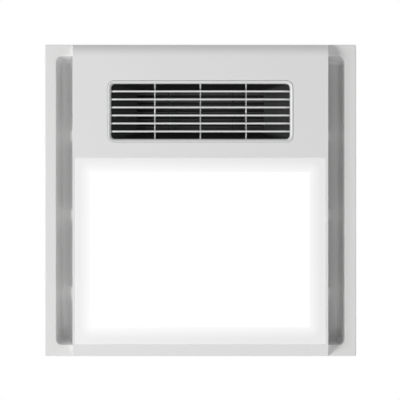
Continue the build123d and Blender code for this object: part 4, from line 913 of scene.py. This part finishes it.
def tub_beads():
    """Stiffening beads pressed outwards in the four walls of the tub."""
    low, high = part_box("mounting_tub")
    sunk, proud = 1 * MM, 1.1 * MM
    half_length, half_height, end_radius = 45 * MM, 3 * MM, 2.9 * MM
    offset, level = 62 * MM, 15.5 * MM
    # Shares that the outer face of a bead keeps of its length and its height
    length_share, height_share = 0.982, 0.75
    beads = []
    for axis, other in ((0, 1), (1, 0)):
        for side in (-1, 1):
            wall = (high if side > 0 else low)[axis]
            for place in (-1, 1):
                middle = Vector((0, 0, level))
                middle[other] = place * offset
                first, last = middle.copy(), middle.copy()
                first[axis], last[axis] = sorted((wall - side * sunk, wall + side * proud))
                first[other] -= half_length
                last[other] += half_length
                first.z -= half_height
                last.z += half_height
                bead = block("tub_bead", first, last)
                opened(bead)
                rounded_corners(bead, end_radius, 4, axis)
                faces_towards(bead, [side if number == axis else 0 for number in range(3)])
                shares = Vector((1, 1, height_share))
                shares[other] = length_share
                bpy.ops.transform.resize(value=shares, center_override=middle)
                closed()
                beads.append(bead)
    finished(joined("tub_beads", beads), "zinc_sheet", smooth=20.0)


terminal_cover()
driver_case()
geared_motor()
duct_spigot()
tub_beads()


# Face
def glowing_cover():
    """Opal cover with a thin step round it, which closes the seam to the panel."""
    low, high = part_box("light_diffuser")
    # Sizes of the step, in millimetres
    seam, lip, slope, rise = 0.2, 0.05, 0.3, 0.25
    side = Vector((seam, seam, 0)) * MM
    piece = block("glowing_cover", low - side + Vector((0, 0, rise)) * MM, high + side)
    opened(piece)
    faces_towards(piece, (0, 0, -1))
    stepped_in(((seam + lip, 0.0), (slope, rise)))
    closed()
    finished(piece, "opal_diffuser", node="light_diffuser")


def beaded_grille():
    """The grille with its flat rim drawn up into a rounded bead that falls away to the mouth."""
    low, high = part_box("outlet_grille")
    middle_y = (low.y + high.y) / 2
    bevel_top = low.z + 1.3 * MM
    # Half length and half width of the field of bars, beside which the rim lies
    field_x, field_y = 85.9 * MM, 21.5 * MM
    # Level of the rim's outer edge and of its edge at the mouth, behind the grille's front
    outer_drop, mouth_drop = 0.8 * MM, 2.1 * MM
    # Width and rise of each step from the outer edge inwards, in millimetres
    steps = ((0.15, 0.5), (0.2, 0.2), (0.35, 0.1), (0.5, -0.05), (0.5, -0.25), (0.5, -0.5), (0.4, -0.6))

    def beside_bars(place):
        return abs(place.x) > field_x or abs(place.y - middle_y) > field_y

    def flat_or_bevelled(face):
        return face.normal.z < -0.5 and all(vert.co.z < bevel_top + NEAR for vert in face.verts)

    grille = copied_node("outlet_grille", "beaded_grille")
    opened(grille)
    choose(grille, "FACE", lambda face: flat_or_bevelled(face) and beside_bars(face.calc_center_median()))
    bpy.ops.mesh.delete(type="FACE")
    for level, wanted in ((bevel_top, low.z + mouth_drop), (low.z, low.z + outer_drop)):
        choose(grille, "EDGE", lambda edge: edge.is_boundary and lies_at(edge, 2, level))
        bpy.ops.transform.translate(value=(0, 0, wanted - level))
    bpy.ops.mesh.edge_face_add()
    stepped_in(steps)
    bpy.ops.mesh.delete(type="FACE")
    choose(grille, "EDGE", lambda edge: edge.is_boundary)
    bpy.ops.mesh.bridge_edge_loops()
    closed()
    finished(grille, "grille_white", node="outlet_grille", smooth=40.0)


glowing_cover()
beaded_grille()


# Stage, light and camera
FLOOR_GAP = 0.5 * MM

# Light of the world from below and from above
WORLD_BELOW, WORLD_ABOVE = 0.20, 0.62

# Name, place and side in metres, and power in watts, of each lamp
LAMPS = (
    ("key_below", (-2.44, 0.12, -1.75), 1.2, 68.5),
    ("fill_below_right", (2.46, 0.0, -1.72), 1.5, 15.0),
    ("fill_below_end", (0.0, 2.46, -1.72), 1.5, 19.0),
    ("key_above", (1.9, -1.9, 2.0), 1.6, 14.0),
    ("fill_above", (-2.2, 1.2, 1.2), 1.6, 8.0),
)


def studio_floor(height):
    """Pale floor under the part, seen only from above, so that it never hides the face from below."""
    clear_choice()
    bpy.ops.mesh.primitive_plane_add(size=30.0, location=(0, 0, height))
    floor = bpy.context.object
    floor.name = "studio_floor"
    material = bpy.data.materials.new("studio_floor")
    material.use_nodes = True
    tree = material.node_tree
    shader = tree.nodes["Principled BSDF"]
    shader.inputs["Base Color"].default_value = (0.86, 0.86, 0.86, 1.0)
    shader.inputs["Roughness"].default_value = 0.9
    shader.inputs["Specular IOR Level"].default_value = 0.1
    clear = tree.nodes.new("ShaderNodeBsdfTransparent")
    mix = tree.nodes.new("ShaderNodeMixShader")
    path = tree.nodes.new("ShaderNodeLightPath")
    side = tree.nodes.new("ShaderNodeNewGeometry")
    front = maths(tree, "SUBTRACT", 1.0, side.outputs["Backfacing"])
    shown = maths(tree, "MULTIPLY", path.outputs["Is Camera Ray"], front)
    tree.links.new(shown, mix.inputs["Fac"])
    tree.links.new(clear.outputs[0], mix.inputs[1])
    tree.links.new(shader.outputs[0], mix.inputs[2])
    tree.links.new(mix.outputs[0], tree.nodes["Material Output"].inputs["Surface"])
    floor.data.materials.append(material)


def studio_world(below, above):
    """White to the eye and in reflections; as light a soft grey, stronger from above than from below."""
    world = bpy.data.worlds.new("studio")
    world.use_nodes = True
    bpy.context.scene.world = world
    tree = world.node_tree
    plain = tree.nodes["Background"]
    plain.inputs["Color"].default_value = WHITE
    place = tree.nodes.new("ShaderNodeTexCoord").outputs["Generated"]
    heading = tree.nodes.new("ShaderNodeSeparateXYZ")
    tree.links.new(place, heading.inputs["Vector"])
    strength = spread(tree, heading.outputs["Z"], low=-0.15, high=0.15, start=below, end=above)
    tree.links.new(strength, plain.inputs["Strength"])
    seen = tree.nodes.new("ShaderNodeBackground")
    seen.inputs["Color"].default_value = WHITE
    seen.inputs["Strength"].default_value = 1.0
    path = tree.nodes.new("ShaderNodeLightPath")
    clear = maths(tree, "MAXIMUM", path.outputs["Is Camera Ray"], path.outputs["Is Transmission Ray"])
    either = maths(tree, "MAXIMUM", clear, path.outputs["Is Glossy Ray"])
    mix = tree.nodes.new("ShaderNodeMixShader")
    tree.links.new(either, mix.inputs["Fac"])
    tree.links.new(plain.outputs[0], mix.inputs[1])
    tree.links.new(seen.outputs[0], mix.inputs[2])
    tree.links.new(mix.outputs[0], tree.nodes["World Output"].inputs["Surface"])


def soft_lamp(name, place, size, watts):
    """Square lamp that faces the part."""
    lamp = bpy.data.lights.new(name, "AREA")
    lamp.shape = "SQUARE"
    lamp.size = size
    lamp.energy = watts
    holder = bpy.data.objects.new(name, lamp)
    holder.location = place
    holder.rotation_euler = (-Vector(place)).to_track_quat("-Z", "Y").to_euler()
    bpy.context.scene.collection.objects.link(holder)


def photo_camera():
    """Long lens straight below the face, with the grille's end up in the picture."""
    distance = 4.0
    pixels, pixel = 400, 0.9634 * MM
    # How far the middle of the photo lies from the part's axis, in pixels
    aside, along = -0.48, -0.42
    border_z = -5 * MM
    camera = bpy.data.cameras.new("photo_camera")
    camera.sensor_width = 36.0
    camera.lens = camera.sensor_width * distance / (pixels * pixel)
    camera.clip_end = 50.0
    holder = bpy.data.objects.new("photo_camera", camera)
    holder.location = (aside * pixel, along * pixel, border_z - distance)
    holder.rotation_euler = (math.pi, 0.0, 0.0)
    bpy.context.scene.collection.objects.link(holder)
    bpy.context.scene.camera = holder


studio_floor(cad_box[0][2] - FLOOR_GAP)
studio_world(WORLD_BELOW, WORLD_ABOVE)
for lamp in LAMPS:
    soft_lamp(*lamp)
photo_camera()
bpy.context.scene.view_settings.view_transform = "Standard"
